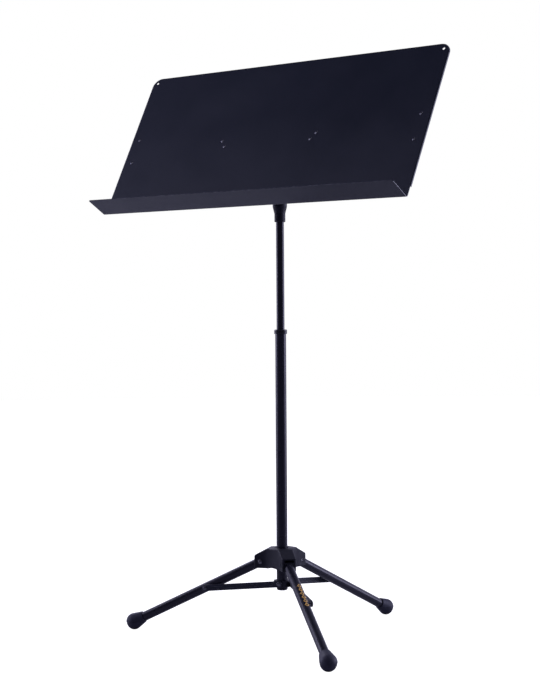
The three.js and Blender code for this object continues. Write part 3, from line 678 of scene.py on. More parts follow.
def hexagon(name, radius, start, stop):
    """A hexagon along Z whose corners are turned off at its far end."""
    around = [math.radians(60 * i) for i in range(6)]
    corners = [(radius * math.cos(a), radius * math.sin(a), start) for a in around]
    piece = outline_piece(name, corners, (0, 0, stop - start))
    flat = radius * math.cos(math.radians(30)) - 0.1 * MM
    slope = (radius - flat) * 0.6
    past_corner = radius + MM
    cone = [(0, start), (past_corner, start), (radius, stop - slope), (flat, stop), (0, stop)]
    return combine(piece, turn("tool", cone, 60), "INTERSECT")


def threaded(radius, start, thread_end, pitch, depth):
    """The outline of a threaded shank from its chamfered tip: V grooves in a plain cylinder."""
    chamfer = 0.8 * MM
    corners = [(0, start), (radius - chamfer, start), (radius, start + chamfer)]
    at = start + chamfer
    while at < thread_end - pitch:
        corners += [(radius - depth, at + pitch / 2), (radius, at + pitch)]
        at += pitch
    return corners


tilt_place = Matrix.Translation(tilt_axis)
bolt_grip = bolt_high.x - HEX_HEIGHT
bolt_outline = threaded(BOLT_RADIUS, bolt_low.x, nut_high.x, THREAD_PITCH, THREAD_DEPTH)
bolt_outline += [(BOLT_RADIUS, bolt_grip + 1 * MM), (0, bolt_grip + 1 * MM)]
tilt_bolt = turn("tilt_bolt_zinc", bolt_outline, 48)
join_with(tilt_bolt, hexagon("bolt_head", HEX_RADIUS, bolt_grip, bolt_high.x))
bore(tilt_bolt, HEX_RADIUS * 0.55, bolt_high.x - DISH, bolt_high.x + MM)
soften(tilt_bolt, 0.12 * MM, 2, 40)
settle(tilt_bolt, tilt_place @ ALONG_X, "desk", "zinc_plated_steel", zinc, "tilt_bolt")

lock_nut = hexagon("tilt_lock_nut_zinc", HEX_RADIUS, nut_low.x, nut_high.x)
collar_end = turn("tool", [
    (0, nut_low.x),
    (HEX_RADIUS * 0.74, nut_low.x),
    (HEX_RADIUS * 0.8, nut_low.x + 0.6 * MM),
    (HEX_RADIUS * 0.84, nut_low.x + 1.5 * MM),
    (HEX_RADIUS * 1.2, nut_low.x + 1.9 * MM),
    (HEX_RADIUS * 1.2, nut_high.x + MM),
    (0, nut_high.x + MM),
], 60)
combine(lock_nut, collar_end, "INTERSECT")
bore(lock_nut, BOLT_RADIUS + 0.1 * MM, nut_low.x - MM, nut_high.x + MM)
soften(lock_nut, 0.12 * MM, 2, 40)
settle(lock_nut, tilt_place @ ALONG_X, "desk", "zinc_plated_steel", zinc, "tilt_lock_nut")


def copies(model, names):
    """Copies of a finished model with its name and their own, each with its own mesh. The model goes."""
    for name in names:
        piece = model.copy()
        piece.data = model.data.copy()
        bpy.context.scene.collection.objects.link(piece)
        piece.name = piece.data.name = model.name + "_" + name
        yield name, piece
    bpy.data.objects.remove(model)


washer_low, washer_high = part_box("friction_washer_left")
washer_radius = (washer_high.z - washer_low.z) / 2
washer_half = (washer_high.x - washer_low.x) / 2
friction_disc = turn(
    "friction_disc",
    tube_corners(washer_radius, washer_radius - BOLT_HOLE, -washer_half, washer_half),
    64,
)


def washer_place(side):
    low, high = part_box(f"friction_washer_{side}")
    return Matrix.Translation(((low.x + high.x) / 2, 0, 0)) @ tilt_place @ ALONG_X


for side, washer in copies(friction_disc, ("left", "right")):
    settle(washer, washer_place(side), "mast", "plain_plastic", acetal, f"friction_washer_{side}")


# ---------------------------------------------------------------- desk
# One sheet of 1.2 mm steel: the ledge is folded forwards over a 5 mm radius, and the top and side
# edges are folded back into a narrow stiffening rim. Powder coated in a fine satin black.
sheet_coat = base_finish(
    "satin_powder_coat",
    colour=(0.012, 0.0155, 0.03),
    tint=(0.0155, 0.0195, 0.0365),
    gloss=(0.3, 0.4),
    grain=0.05 * MM,
    grain_size=1250,
    # Light bluish edges: partly worn coat, partly a painted highlight of rims and folds lit from the side.
    wear_and_highlight_colour=(0.3, 0.31, 0.38),
    wear_and_highlight_amount=0.8,
    patch_size=7.0,
)

SHEET = 1.2 * MM
DESK_HALF = 365 * MM
DESK_HEIGHT = 345 * MM
LEDGE_DEPTH = 58 * MM
FOLD_RADIUS = 5 * MM
DESK_CORNER = 21 * MM
LEDGE_CORNER = 4 * MM
RIM_DEPTH = 4.8 * MM
RIM_START = 25 * MM
RIM_ROUND = 1.3 * MM
HANG_HOLE = 2.8 * MM
HANG_INSET = 13 * MM
NEAR = 0.01 * MM
desk_back = -45 * MM
desk_front = desk_back - SHEET
desk_foot = -158 * MM
desk_top = desk_foot + DESK_HEIGHT
up_the_desk = Vector(mounts["ledge_top"]["axis"])
desk_lean = math.atan2(up_the_desk.y, up_the_desk.z)
desk_place = tilt_place @ Matrix.Rotation(-desk_lean, 4, "X")


def pick(piece, kind, chosen):
    """Selects a piece's points or edges that a test picks by their places, in edit mode."""
    bpy.ops.mesh.select_all(action="DESELECT")
    bpy.ops.mesh.select_mode(type=kind)
    leave_edit()
    points = piece.data.vertices
    if kind == "VERT":
        for point in points:
            point.select = chosen(point.co)
    else:
        for edge in piece.data.edges:
            start, stop = (points[i].co for i in edge.vertices)
            edge.select = all(chosen(at) for at in (start, (start + stop) / 2, stop))
    bpy.ops.object.mode_set(mode="EDIT")


def open_sheet(name, width, height, centre):
    """A flat sheet with no thickness yet, upright and facing along Y, in edit mode."""
    leave_edit()
    bpy.ops.object.select_all(action="DESELECT")
    bpy.ops.mesh.primitive_plane_add(size=1, location=centre, rotation=(math.radians(90), 0, 0))
    sheet = bpy.context.object
    sheet.name = name
    sheet.scale = (width, height, 1)
    bpy.ops.object.transform_apply(location=True, rotation=True, scale=True)
    bpy.ops.object.mode_set(mode="EDIT")
    return sheet


sheet_top = desk_top - SHEET
desk = open_sheet(
    "desk_sheet_folded",
    2 * (DESK_HALF - SHEET),
    sheet_top - desk_foot,
    (0, desk_back, (desk_foot + sheet_top) / 2),
)
pick(desk, "EDGE", lambda at: at.z < desk_foot + NEAR)
bpy.ops.mesh.extrude_region_move(TRANSFORM_OT_translate={"value": (0, -LEDGE_DEPTH, 0)})
for cut_height in (RIM_START, RIM_START - 1.5 * MM):
    bpy.ops.mesh.select_all(action="SELECT")
    bpy.ops.mesh.bisect(plane_co=(0, 0, desk_foot + cut_height), plane_no=(0, 0, 1))
pick(desk, "VERT", lambda at: at.z < desk_foot + RIM_START - NEAR)
bpy.ops.transform.resize(value=(DESK_HALF / (DESK_HALF - SHEET), 1, 1), center_override=(0, 0, 0))
pick(desk, "VERT", lambda at: at.z > sheet_top - NEAR)
bpy.ops.mesh.bevel(offset=DESK_CORNER - SHEET, segments=12, affect="VERTICES")
pick(desk, "VERT", lambda at: at.y < desk_back - LEDGE_DEPTH + NEAR)
bpy.ops.mesh.bevel(offset=LEDGE_CORNER, segments=6, affect="VERTICES")
pick(desk, "EDGE", lambda at: abs(at.z - desk_foot) < NEAR and abs(at.y - desk_back) < NEAR)
bpy.ops.mesh.bevel(offset=FOLD_RADIUS, segments=10, affect="EDGES")


def on_rim(at):
    """True on the edge that is folded back: the sides above the rim's start, the corners and the top."""
    corner_x = DESK_HALF - DESK_CORNER
    corner_z = desk_top - DESK_CORNER
    if at.z < desk_foot + RIM_START - NEAR or abs(at.y - desk_back) > NEAR:
        return False
    if abs(at.x) > corner_x and at.z > corner_z:
        return math.hypot(abs(at.x) - corner_x, at.z - corner_z) > DESK_CORNER - SHEET - 0.2 * MM
    return abs(at.x) > DESK_HALF - SHEET - NEAR or at.z > sheet_top - NEAR


pick(desk, "EDGE", on_rim)
bpy.ops.mesh.extrude_region_move(TRANSFORM_OT_translate={"value": (0, RIM_DEPTH - SHEET, 0)})
pick(desk, "EDGE", on_rim)
bpy.ops.mesh.bevel(offset=RIM_ROUND, segments=4, affect="EDGES")
close_mesh()
apply_modifier(desk, "SOLIDIFY", thickness=SHEET, offset=-1, use_even_offset=True)

RIVET_RADIUS = 1.9 * MM
RIVET_HOLE = RIVET_RADIUS + 0.3 * MM
BRACKET_RIVETS = {"inner": (105 * MM, -8.5 * MM), "outer": (115 * MM, 5.5 * MM)}
EDGE_RIVETS = {"lower": (343.5 * MM, -30 * MM), "upper": (343.5 * MM, 27 * MM)}
desk_holes = [(HANG_HOLE, DESK_HALF - HANG_INSET, desk_top - HANG_INSET)]
desk_holes += [(RIVET_HOLE, *place) for place in [*BRACKET_RIVETS.values(), *EDGE_RIVETS.values()]]


def cut_holes(piece, holes):
    """Cuts (radius, across, up) holes through a piece of the desk, on both sides."""
    for radius, across, up in holes:
        for side in (-1, 1):
            bore(piece, radius, -60 * MM, -30 * MM, ALONG_Y, (side * across, 0, up), 32)


cut_holes(desk, desk_holes)
soften(desk, 0.28 * MM, 2, 40)
settle(desk, desk_place, "desk", "powder_coated_sheet", sheet_coat, "desk_plate")


# ---------------------------------------------------------------- desk bracket and side stiffeners
# Pressed steel behind the desk: a bracket with two long wings, each with a pressed bead, and two ears
# for the tilt bolt, and a short angle at each end of the desk. All are riveted on and coated black.
black_steel = base_finish(
    "black_coated_pressed_steel",
    colour=(0.0085, 0.009, 0.015),
    tint=(0.013, 0.0135, 0.021),
    gloss=(0.32, 0.46),
    grain=0.03 * MM,
    grain_size=900,
    wear_and_highlight_colour=(0.2, 0.2, 0.21),
    wear_and_highlight_amount=0.7,
    patch_size=22,
)
BRACKET_SHEET = 2 * MM
BRACKET_HALF = 24 * MM
BRACKET_BELOW = 30 * MM
BRACKET_ABOVE = 24 * MM
WING_END = 9 * MM
EAR_FROM = 9 * MM
EAR_THICK = 2.5 * MM
EAR_RADIUS = 14 * MM
CORNER = 4 * MM
bracket_face = desk_back + 0.3 * MM
bracket_back = bracket_face + BRACKET_SHEET

right_half = [
    *flat_arc((BRACKET_HALF - CORNER, -BRACKET_BELOW + CORNER), CORNER, -90, 0, 5),
    (BRACKET_HALF, -BRACKET_BELOW + 8 * MM),
    *flat_arc(BRACKET_RIVETS["inner"], WING_END, -97, -36, 6),
    *flat_arc(BRACKET_RIVETS["outer"], WING_END, -36, 92, 10),
    (BRACKET_HALF, BRACKET_ABOVE - 5 * MM),
    *flat_arc((BRACKET_HALF - CORNER, BRACKET_ABOVE - CORNER), CORNER, 20, 90, 4),
]
left_half = [(-x, z) for x, z in reversed(right_half)]
bracket = outline_piece(
    "desk_bracket_pressed",
    [(x, bracket_face, z) for x, z in right_half + left_half],
    (0, BRACKET_SHEET, 0),
)
BEAD_FROM, BEAD_TO, BEAD_HALF, BEAD_HIGH = 32 * MM, 97 * MM, 4.2 * MM, 1.7 * MM
for side in (-1, 1):
    capsule = flat_arc((BEAD_FROM, -1 * MM), BEAD_HALF, 90, 270, 10)
    capsule += flat_arc((BEAD_TO, -3 * MM), BEAD_HALF, -90, 90, 10)
    bead = outline_piece(
        "bead",
        [(side * x, bracket_back - 0.5 * MM, z) for x, z in capsule],
        (0, BEAD_HIGH + 0.5 * MM, 0),
    )
    join_with(bracket, soften(bead, 1.2 * MM, 3, 60))
    ear_root = bracket_face + 0.5 * MM
    ear_side = [(ear_root, BRACKET_ABOVE - 2 * MM), (ear_root, 2 * MM - BRACKET_BELOW)]
    ear_side += flat_arc((0, 0), EAR_RADIUS, -60, 60, 14)
    ear_at = side * EAR_FROM
    ear = outline_piece("ear", [(ear_at, y, z) for y, z in ear_side], (side * EAR_THICK, 0, 0))
    join_with(bracket, ear)
bore(bracket, BOLT_HOLE, -30 * MM, 30 * MM, ALONG_X)
cut_holes(bracket, [(RIVET_HOLE, *place) for place in BRACKET_RIVETS.values()])
soften(bracket, 0.45 * MM, 2, 35)
settle(bracket, desk_place, "desk", "black_steel", black_steel, "desk_bracket")

STIFFENER_HALF = 10 * MM
STIFFENER_LIP = 8 * MM
STIFFENER_SHEET = 1.5 * MM
STIFFENER_END = 14 * MM
stiffener_low = EDGE_RIVETS["lower"][1] - STIFFENER_END
stiffener_high = EDGE_RIVETS["upper"][1] + STIFFENER_END
for side, name in ((-1, "left"), (1, "right")):
    centre = side * EDGE_RIVETS["lower"][0]
    inner = centre - side * STIFFENER_HALF
    stiffener = open_sheet(
        f"side_stiffener_{name}_folded",
        2 * STIFFENER_HALF,
        stiffener_high - stiffener_low,
        (centre, bracket_face, (stiffener_low + stiffener_high) / 2),
    )
    pick(stiffener, "EDGE", lambda at: abs(at.x - inner) < NEAR)
    bpy.ops.mesh.extrude_region_move(TRANSFORM_OT_translate={"value": (0, STIFFENER_LIP, 0)})
    pick(stiffener, "VERT", lambda at: side * (at.x - centre) > STIFFENER_HALF - NEAR)
    bpy.ops.mesh.bevel(offset=4 * MM, segments=6, affect="VERTICES")
    pick(stiffener, "VERT", lambda at: at.y > bracket_face + STIFFENER_LIP - NEAR)
    bpy.ops.mesh.bevel(offset=3 * MM, segments=5, affect="VERTICES")
    pick(stiffener, "EDGE", lambda at: abs(at.x - inner) < NEAR and abs(at.y - bracket_face) < NEAR)
    bpy.ops.mesh.bevel(offset=2 * MM, segments=5, affect="EDGES")
    close_mesh()
    flat = max(stiffener.data.polygons, key=lambda face: face.area)
    inwards = 1 if flat.normal.y > 0 else -1
    apply_modifier(stiffener, "SOLIDIFY", thickness=STIFFENER_SHEET, offset=inwards, use_even_offset=True)
    for across, up in EDGE_RIVETS.values():
        bore(stiffener, RIVET_HOLE, -60 * MM, -30 * MM, ALONG_Y, (side * across, 0, up), 32)
    soften(stiffener, 0.3 * MM, 2, 40)
    settle(stiffener, desk_place, "desk", "powder_coated_sheet", sheet_coat, f"side_stiffener_{name}")


# ---------------------------------------------------------------- desk rivets
# Blackened steel blind rivets: a low dome with the mandrel's small hole in front, a set tail behind.
# The crowns have lost some of their black to the edges of folders and books.
rivet_black = base_finish(
    "blackened_rivet_steel",
    colour=(0.12, 0.12, 0.15),
    tint=(0.2, 0.2, 0.24),
    gloss=(0.16, 0.28),
    grain=0.012 * MM,
    grain_size=2600,
    wear_and_highlight_colour=(0.42, 0.42, 0.44),
    wear_and_highlight_amount=0.9,
    patch_size=160,
)
rivet_black.node_tree.nodes["Principled BSDF"].inputs["Metallic"].default_value = 0.85
RIVET_HEAD = 3.4 * MM
RIVET_HIGH = 1.3 * MM
MANDREL = 0.9 * MM


def desk_rivet(name, back):
    """A set blind rivet along Z, through the desk and the piece behind it, whose back face is given."""
    front = desk_front - 0.01 * MM
    tail = back + 0.3 * MM
    return turn(name, [
        (0, front - RIVET_HIGH + 0.7 * MM),
        (MANDREL - 0.2 * MM, front - RIVET_HIGH + 0.7 * MM),
        (MANDREL, front - RIVET_HIGH),
        (MANDREL + 0.8 * MM, front - RIVET_HIGH + 0.08 * MM),
        (RIVET_HEAD * 0.75, front - RIVET_HIGH * 0.62),
        (RIVET_HEAD - 0.15 * MM, front - 0.3 * MM),
        (RIVET_HEAD, front - 0.1 * MM),
        (RIVET_HEAD - 0.1 * MM, front),
        (RIVET_RADIUS, front),
        (RIVET_RADIUS, tail),
        (RIVET_HEAD * 0.85, tail),
        (RIVET_HEAD * 0.92, tail + 0.5 * MM),
        (RIVET_HEAD * 0.7, tail + 1.1 * MM),
        (MANDREL, tail + 1.4 * MM),
        (0, tail + 1.4 * MM),
    ], 40)


def rivet_place(name):
    side, row = name.split("_")
    across, up = {**BRACKET_RIVETS, **EDGE_RIVETS}[row]
    way = -1 if side == "left" else 1
    return desk_place @ Matrix.Translation((way * across, 0, up)) @ ALONG_Y


for kind, back, rows in (
    ("bracket_rivet", bracket_back, BRACKET_RIVETS),
    ("edge_rivet", bracket_face + STIFFENER_SHEET, EDGE_RIVETS),
):
    names = [f"{side}_{row}" for side in ("left", "right") for row in rows]
    for name, rivet in copies(desk_rivet(f"{kind}_domed", back), names):
        settle(rivet, rivet_place(name), "desk", "blackened_rivet", rivet_black, f"{kind}_{name}")


# ---------------------------------------------------------------- leg hub
# Moulded nylon hub that slides on the lower tube: three arms with a slot for each leg, flat panels
# between the arms, pockets underneath to keep the walls even, and a boss for the lock's screw.
LEGS = ("front", "rear", "left")
HUB_TOP = 28 * MM
HUB_BOTTOM = 13 * MM
HUB_REACH = 54.5 * MM
HUB_BOSS = 26.5 * MM
HUB_ARM_TOP = 13 * MM
HUB_PANEL_START = 30 * MM
HUB_EAR = 4.7 * MM
LEG_PIVOT_OUT = 42 * MM
HUB_PANEL_WALL = 3 * MM
LOCK_UP = 7 * MM
LOCK_BOSS_RADIUS = 9 * MM
LOCK_BOSS_REACH = 31 * MM
LOCK_HOLE = 3.3 * MM
HINGE_HOLE = 2.8 * MM
LEG_RADIUS = 9.5 * MM
slot_half = LEG_RADIUS + 0.3 * MM
arm_half = slot_half + HUB_EAR
slot_start = LEG_PIVOT_OUT - LEG_RADIUS - 2.5 * MM
slot_roof = LEG_RADIUS + 1.1 * MM
hinge_height = Vector(joints["leg_fold_front"]["pos_m"]).z
hub_place = Matrix.Translation((pole_x, pole_y, hinge_height))


def leg_turn(name):
    """The turn about Z from +X to a leg."""
    across = joints[f"leg_fold_{name}"]["axis"]
    return Matrix.Rotation(math.atan2(-across[0], across[1]), 4, "Z")


lock_turn = leg_turn("front") @ Matrix.Rotation(math.pi, 4, "Z")
arm_corners = [
    (HUB_PANEL_START, -arm_half, -HUB_BOTTOM),
    (HUB_REACH, -arm_half, -HUB_BOTTOM),
    (HUB_REACH, arm_half, -HUB_BOTTOM),
    (HUB_PANEL_START, arm_half, -HUB_BOTTOM),
]
hub_outline = [tuple(leg_turn(name) @ Vector(corner)) for name in LEGS for corner in arm_corners]
hub = outline_piece("leg_hub_moulded", hub_outline, (0, 0, HUB_TOP + HUB_BOTTOM))


def cut_on_arms(corners, thickness):
    """Cuts an outline, pushed by a thickness, out of each of the hub's arms."""
    for name in LEGS:
        tool = outline_piece("tool", corners, thickness)
        cut_with(hub, place_piece(tool, leg_turn(name)))


past = HUB_REACH + 5 * MM
fall = (HUB_TOP - HUB_ARM_TOP) / (HUB_REACH - HUB_BOSS)
wide = 2 * arm_half
cut_on_arms(
    [
        (HUB_BOSS, -wide, HUB_TOP),
        (past, -wide, HUB_TOP - fall * (past - HUB_BOSS)),
        (past, -wide, HUB_TOP + 5 * MM),
        (HUB_BOSS, -wide, HUB_TOP + 5 * MM),
    ],
    (0, 2 * wide, 0),
)
soften(hub, 2.2 * MM, 4, 30)
panel_turn = Matrix.Rotation(math.radians(60), 4, "Z")
panel_out = HUB_PANEL_START * math.cos(math.radians(60)) + arm_half * math.sin(math.radians(60))
ARCH_RADIUS = 46 * MM
ARCH_RISE = 2.6 * MM
for name in LEGS:
    arch = turn("tool", [(0, 0), (ARCH_RADIUS, 0), (ARCH_RADIUS, 60 * MM), (0, 60 * MM)], 96)
    place_piece(arch, Matrix.Translation((0, 0, -HUB_BOTTOM + ARCH_RISE - ARCH_RADIUS)) @ ALONG_X)
    cut_with(hub, place_piece(arch, leg_turn(name) @ panel_turn))
cut_on_arms(
    [
        (slot_start, -slot_half, -HUB_BOTTOM - 5 * MM),
        (past, -slot_half, -HUB_BOTTOM - 5 * MM),
        (past, -slot_half, slot_roof),
        (slot_start, -slot_half, slot_roof),
    ],
    (0, 2 * slot_half, 0),
)
lock_boss = pin_tool(LOCK_BOSS_RADIUS, lower_radius + HUB_EAR, LOCK_BOSS_REACH, ALONG_X, (0, 0, LOCK_UP))
join_with(hub, place_piece(lock_boss, lock_turn))
bore(hub, lower_radius + FIT, -50 * MM, 50 * MM, steps=72)
bore(hub, lower_radius + 2.2 * MM, HUB_TOP - 1.2 * MM, 50 * MM, steps=72)
lock_hole = pin_tool(LOCK_HOLE, 0, 60 * MM, ALONG_X, (0, 0, LOCK_UP))
cut_with(hub, place_piece(lock_hole, lock_turn))
POCKET_FLOOR = 18 * MM
POCKET_HALF = 13 * MM
pocket_from = lower_radius + 4 * MM
pocket_to = panel_out - HUB_PANEL_WALL
pocket_foot = -HUB_BOTTOM - MM
for name in LEGS:
    hinge_hole = pin_tool(HINGE_HOLE, -wide, wide, ALONG_Y, (LEG_PIVOT_OUT, 0, 0))
    cut_with(hub, place_piece(hinge_hole, leg_turn(name)))
    if name != "rear":
        pocket_outline = arc(0, 0, pocket_from, -32, 32, 8)
        pocket_outline += [(pocket_to, POCKET_HALF), (pocket_to, -POCKET_HALF)]
        pocket = outline_piece("tool", [(x, y, pocket_foot) for x, y in pocket_outline], (0, 0, POCKET_FLOOR))
        cut_with(hub, place_piece(pocket, leg_turn(name) @ panel_turn))
soften(hub, 0.6 * MM, 2, 40)
settle(hub, hub_place, "hub", "moulded_nylon", nylon, "leg_hub")


# ---------------------------------------------------------------- leg hinge pins
# Blackened steel pins with a domed head, one across each arm of the hub, with the far end peened.
PIN_RADIUS = 2.5 * MM
PIN_HEAD = 4.5 * MM
PIN_HEAD_HIGH = 1.8 * MM


def pin_head(face):
    """The domed head of a pin, as outline corners from its underside to the axis."""
    return [
        (PIN_HEAD - 0.15 * MM, face),
        (PIN_HEAD, face + 0.2 * MM),
        (PIN_HEAD - 0.1 * MM, face + 0.6 * MM),
        (PIN_HEAD * 0.86, face + PIN_HEAD_HIGH * 0.62),
        (PIN_HEAD * 0.62, face + PIN_HEAD_HIGH * 0.86),
        (PIN_HEAD * 0.32, face + PIN_HEAD_HIGH * 0.97),
        (0, face + PIN_HEAD_HIGH),
    ]


def hinge_pin(name, start, face):
    """A pin along Z whose head sits on a face. Its plain end is peened a little."""
    return turn(name, [
        (0, start + 0.2 * MM),
        (1.2 * MM, start),
        (PIN_RADIUS - 0.3 * MM, start),
        (PIN_RADIUS, start + 0.5 * MM),
        (PIN_RADIUS, face),
        *pin_head(face),
    ], 40)


def hinge_pin_place(name):
    return hub_place @ leg_turn(name) @ Matrix.Translation((LEG_PIVOT_OUT, 0, 0)) @ ALONG_Y


leg_hinge_pin = hinge_pin("leg_hinge_pin_domed", -arm_half, arm_half + 0.05 * MM)
for name, pin in copies(leg_hinge_pin, LEGS):
    settle(pin, hinge_pin_place(name), "hub", "blackened_rivet", rivet_black, f"leg_hinge_pin_{name}")


# ---------------------------------------------------------------- hub lock
# A lobed nylon thumb knob moulded on a zinc-plated screw. Turned in, it presses on the lower tube and
# holds the hub, and so the open legs, where they are.
SCREW_RADIUS = 3 * MM
SCREW_PITCH = 1 * MM
SCREW_DEPTH = 0.4 * MM
KNOB_RADIUS = 12 * MM
KNOB_LOBES = 6
KNOB_WAVE = 1.2 * MM
KNOB_LENGTH = 14 * MM
KNOB_NECK = 8 * MM
KNOB_NECK_LENGTH = 3 * MM
knob_from = LOCK_BOSS_REACH + 0.3 * MM
knob_to = knob_from + KNOB_LENGTH
screw_end = knob_to - 4 * MM
lock_place = hub_place @ lock_turn @ Matrix.Translation((0, 0, LOCK_UP)) @ ALONG_X

screw_start = lower_radius + FIT
screw_outline = threaded(SCREW_RADIUS, screw_start, knob_from, SCREW_PITCH, SCREW_DEPTH)
screw_outline += [(SCREW_RADIUS, screw_end), (0, screw_end)]
lock_screw = turn("hub_lock_screw_zinc", screw_outline, 36)
settle(lock_screw, lock_place, "hub_lock", "zinc_plated_steel", zinc, "hub_lock_screw")

lobe_corners = []
lobe_steps = KNOB_LOBES * 12
for step in range(lobe_steps):
    at = math.tau * step / lobe_steps
    reach = KNOB_RADIUS - KNOB_WAVE + KNOB_WAVE * math.cos(KNOB_LOBES * at)
    lobe_corners.append((reach * math.cos(at), reach * math.sin(at), knob_from + KNOB_NECK_LENGTH))
knob = outline_piece("hub_lock_knob_lobed", lobe_corners, (0, 0, KNOB_LENGTH - KNOB_NECK_LENGTH))
soften(knob, 1.6 * MM, 4, 40)
bore(knob, KNOB_RADIUS * 0.6, knob_to - 0.8 * MM, knob_to + MM, steps=48)
join_with(knob, pin_tool(KNOB_NECK, knob_from, knob_from + KNOB_NECK_LENGTH + MM, steps=48))
bore(knob, LOCK_HOLE, knob_from - MM, screw_end + FIT, steps=36)
soften(knob, 0.4 * MM, 2, 40)
settle(knob, lock_place, "hub_lock", "moulded_nylon", nylon, "hub_lock_knob")


# ---------------------------------------------------------------- legs
# Three steel tubes in the same coat as the pole, each on a nylon tongue that hinges in the hub. The
# front one carries a strip of gold ink, a plain row of lozenges.
FOOT_RADIUS = 17.4 * MM
FOOT_FLAT = 0.7 * MM
LEG_WALL = 1.2 * MM
TONGUE_HALF = 8.5 * MM
TONGUE_LENGTH = 12 * MM
TONGUE_PLUG = 20 * MM
FOOT_WALL_AT_END = 12 * MM
tube_start = TONGUE_LENGTH + FIT


def leg_ends(name):
    """The places of a leg's hinge and of the middle of its foot's ball."""
    foot = Vector(mounts[f"foot_{name}"]["pos_m"])
    return Vector(joints[f"leg_fold_{name}"]["pos_m"]), foot + Vector((0, 0, FOOT_RADIUS - FOOT_FLAT))


def own_frame(start, end, name):
    """A leg's or a brace's own frame: X from start to end, Y along the leg's hinge, Z above."""
    along = (end - start).normalized()
    across = Vector(joints[f"leg_fold_{name}"]["axis"]).normalized()
    axes = Matrix((along, across, along.cross(across))).transposed()
    return Matrix.Translation(start) @ axes.to_4x4()


def leg_place(name):
    return own_frame(*leg_ends(name), name)


front_hinge, front_ball = leg_ends("front")
leg_length = (front_ball - front_hinge).length
tube_stop = leg_length - FOOT_WALL_AT_END

STRIP_FROM = 78 * MM
STRIP_TO = 150 * MM
STRIP_HALF = 5 * MM
STRIP_TURN = math.radians(9)
STRIP_PITCH = 12 * MM
STRIP_STROKE = 2.6 * MM
GOLD = (1.0, 0.6, 0.17)


def number(operation, first, second=0.0):
    """The result of one arithmetic node in the printed coat; first and second are sockets or numbers."""
    return shade(printed_coat.node_tree, "Math", 0, {0: first, 1: second}, operation=operation)


printed_coat = tube_coat.copy()
printed_coat.name = "tube_coat_with_gold_strip"
to_leg = leg_place("front").inverted()
strip_place = shade(printed_coat.node_tree, "Mapping", "Vector", {
    "Vector": shade(printed_coat.node_tree, "TexCoord", "Object"),
    "Location": to_leg.translation,
    "Rotation": to_leg.to_euler("XYZ"),
})
strip_axes = shade(printed_coat.node_tree, "SeparateXYZ", "X", {"Vector": strip_place}).node.outputs
strip_angle = number("ARCTAN2", strip_axes["Y"], strip_axes["Z"])
strip_across = number("MULTIPLY", number("SUBTRACT", strip_angle, STRIP_TURN), LEG_RADIUS)
strip_middle = number("SUBTRACT", strip_axes["X"], (STRIP_FROM + STRIP_TO) / 2)
strip_wave = number("PINGPONG", strip_middle, STRIP_PITCH / 2)
lozenge_reach = number("MULTIPLY", strip_wave, 2 * STRIP_HALF / STRIP_PITCH)
lozenge_edge = number("SUBTRACT", lozenge_reach, number("ABSOLUTE", strip_across))
inside = number("GREATER_THAN", lozenge_edge, 0.0)
outer_part = number("LESS_THAN", lozenge_edge, STRIP_STROKE)
within = number("LESS_THAN", number("ABSOLUTE", strip_middle), (STRIP_TO - STRIP_FROM) / 2)
inked = number("MULTIPLY", number("MULTIPLY", inside, outer_part), within)
strip_wear = add_group(printed_coat, patch_group, Scale=420.0, Low=0.7, High=1.3)
ink = shade(printed_coat.node_tree, "Clamp", "Result", {"Value": number("MULTIPLY", inked, strip_wear)})
coat_colour = printed_coat.node_tree.nodes["Principled BSDF"].inputs["Base Color"]
printed_colour = colour_mix(printed_coat, ink, coat_colour.links[0].from_socket, GOLD)
printed_coat.node_tree.links.new(printed_colour, coat_colour)

leg_tube_model = turn("leg_tube_coated", tube_corners(LEG_RADIUS, LEG_WALL, tube_start, tube_stop))
place_piece(leg_tube_model, ALONG_X)
for name, leg_tube in copies(leg_tube_model, LEGS):
    leg_coat = printed_coat if name == "front" else tube_coat
    settle(leg_tube, leg_place(name), f"leg_{name}", "coated_tube", leg_coat, f"leg_tube_{name}")

tongue_side = flat_arc((0, 0), LEG_RADIUS, 90, 270, 20)
tongue_side += [(TONGUE_LENGTH, -LEG_RADIUS), (TONGUE_LENGTH, LEG_RADIUS)]
tongue_corners = [(x, -TONGUE_HALF, z) for x, z in tongue_side]
tongue_model = outline_piece("leg_tongue_moulded", tongue_corners, (0, 2 * TONGUE_HALF, 0))
plug_radius = LEG_RADIUS - LEG_WALL - FIT
plug_end = TONGUE_LENGTH + TONGUE_PLUG
join_with(tongue_model, pin_tool(plug_radius, TONGUE_LENGTH - MM, plug_end, ALONG_X, steps=48))
bore(tongue_model, HINGE_HOLE, -20 * MM, 20 * MM, ALONG_Y)
soften(tongue_model, 0.6 * MM, 3, 35)
for name, tongue in copies(tongue_model, LEGS):
    settle(tongue, leg_place(name), f"leg_{name}", "moulded_nylon", nylon, f"leg_tongue_{name}")


# ---------------------------------------------------------------- rubber feet
# Moulded rubber boots pushed over the leg ends: a short collar that widens into a ball. The tread is a
# slightly narrower cap under the parting line, and a small flat touches the floor.
rubber = base_finish(
    "foot_rubber",
    colour=(0.022, 0.023, 0.046),
    tint=(0.031, 0.031, 0.06),
    gloss=(0.5, 0.68),
    grain=0.06 * MM,
    grain_size=1300,
    wear_and_highlight_colour=(0.05, 0.05, 0.055),
    wear_and_highlight_amount=0.35,
    patch_size=40,
)
FOOT_COLLAR = 12 * MM
FOOT_COLLAR_LENGTH = 24 * MM
FOOT_BORE = LEG_RADIUS + FIT
BALL_RADIUS = 16.9 * MM
PARTING_UP = 0.4 * MM
TREAD_SHARE = 0.965
TREAD_LAP = 0.3 * MM
TREAD_SLOPE = 0.12
start = leg_length - FOOT_COLLAR_LENGTH
cone_start = start + 1.4 * MM
cone_back = leg_length - cone_start
cone_turn = math.atan2(cone_back, FOOT_COLLAR)
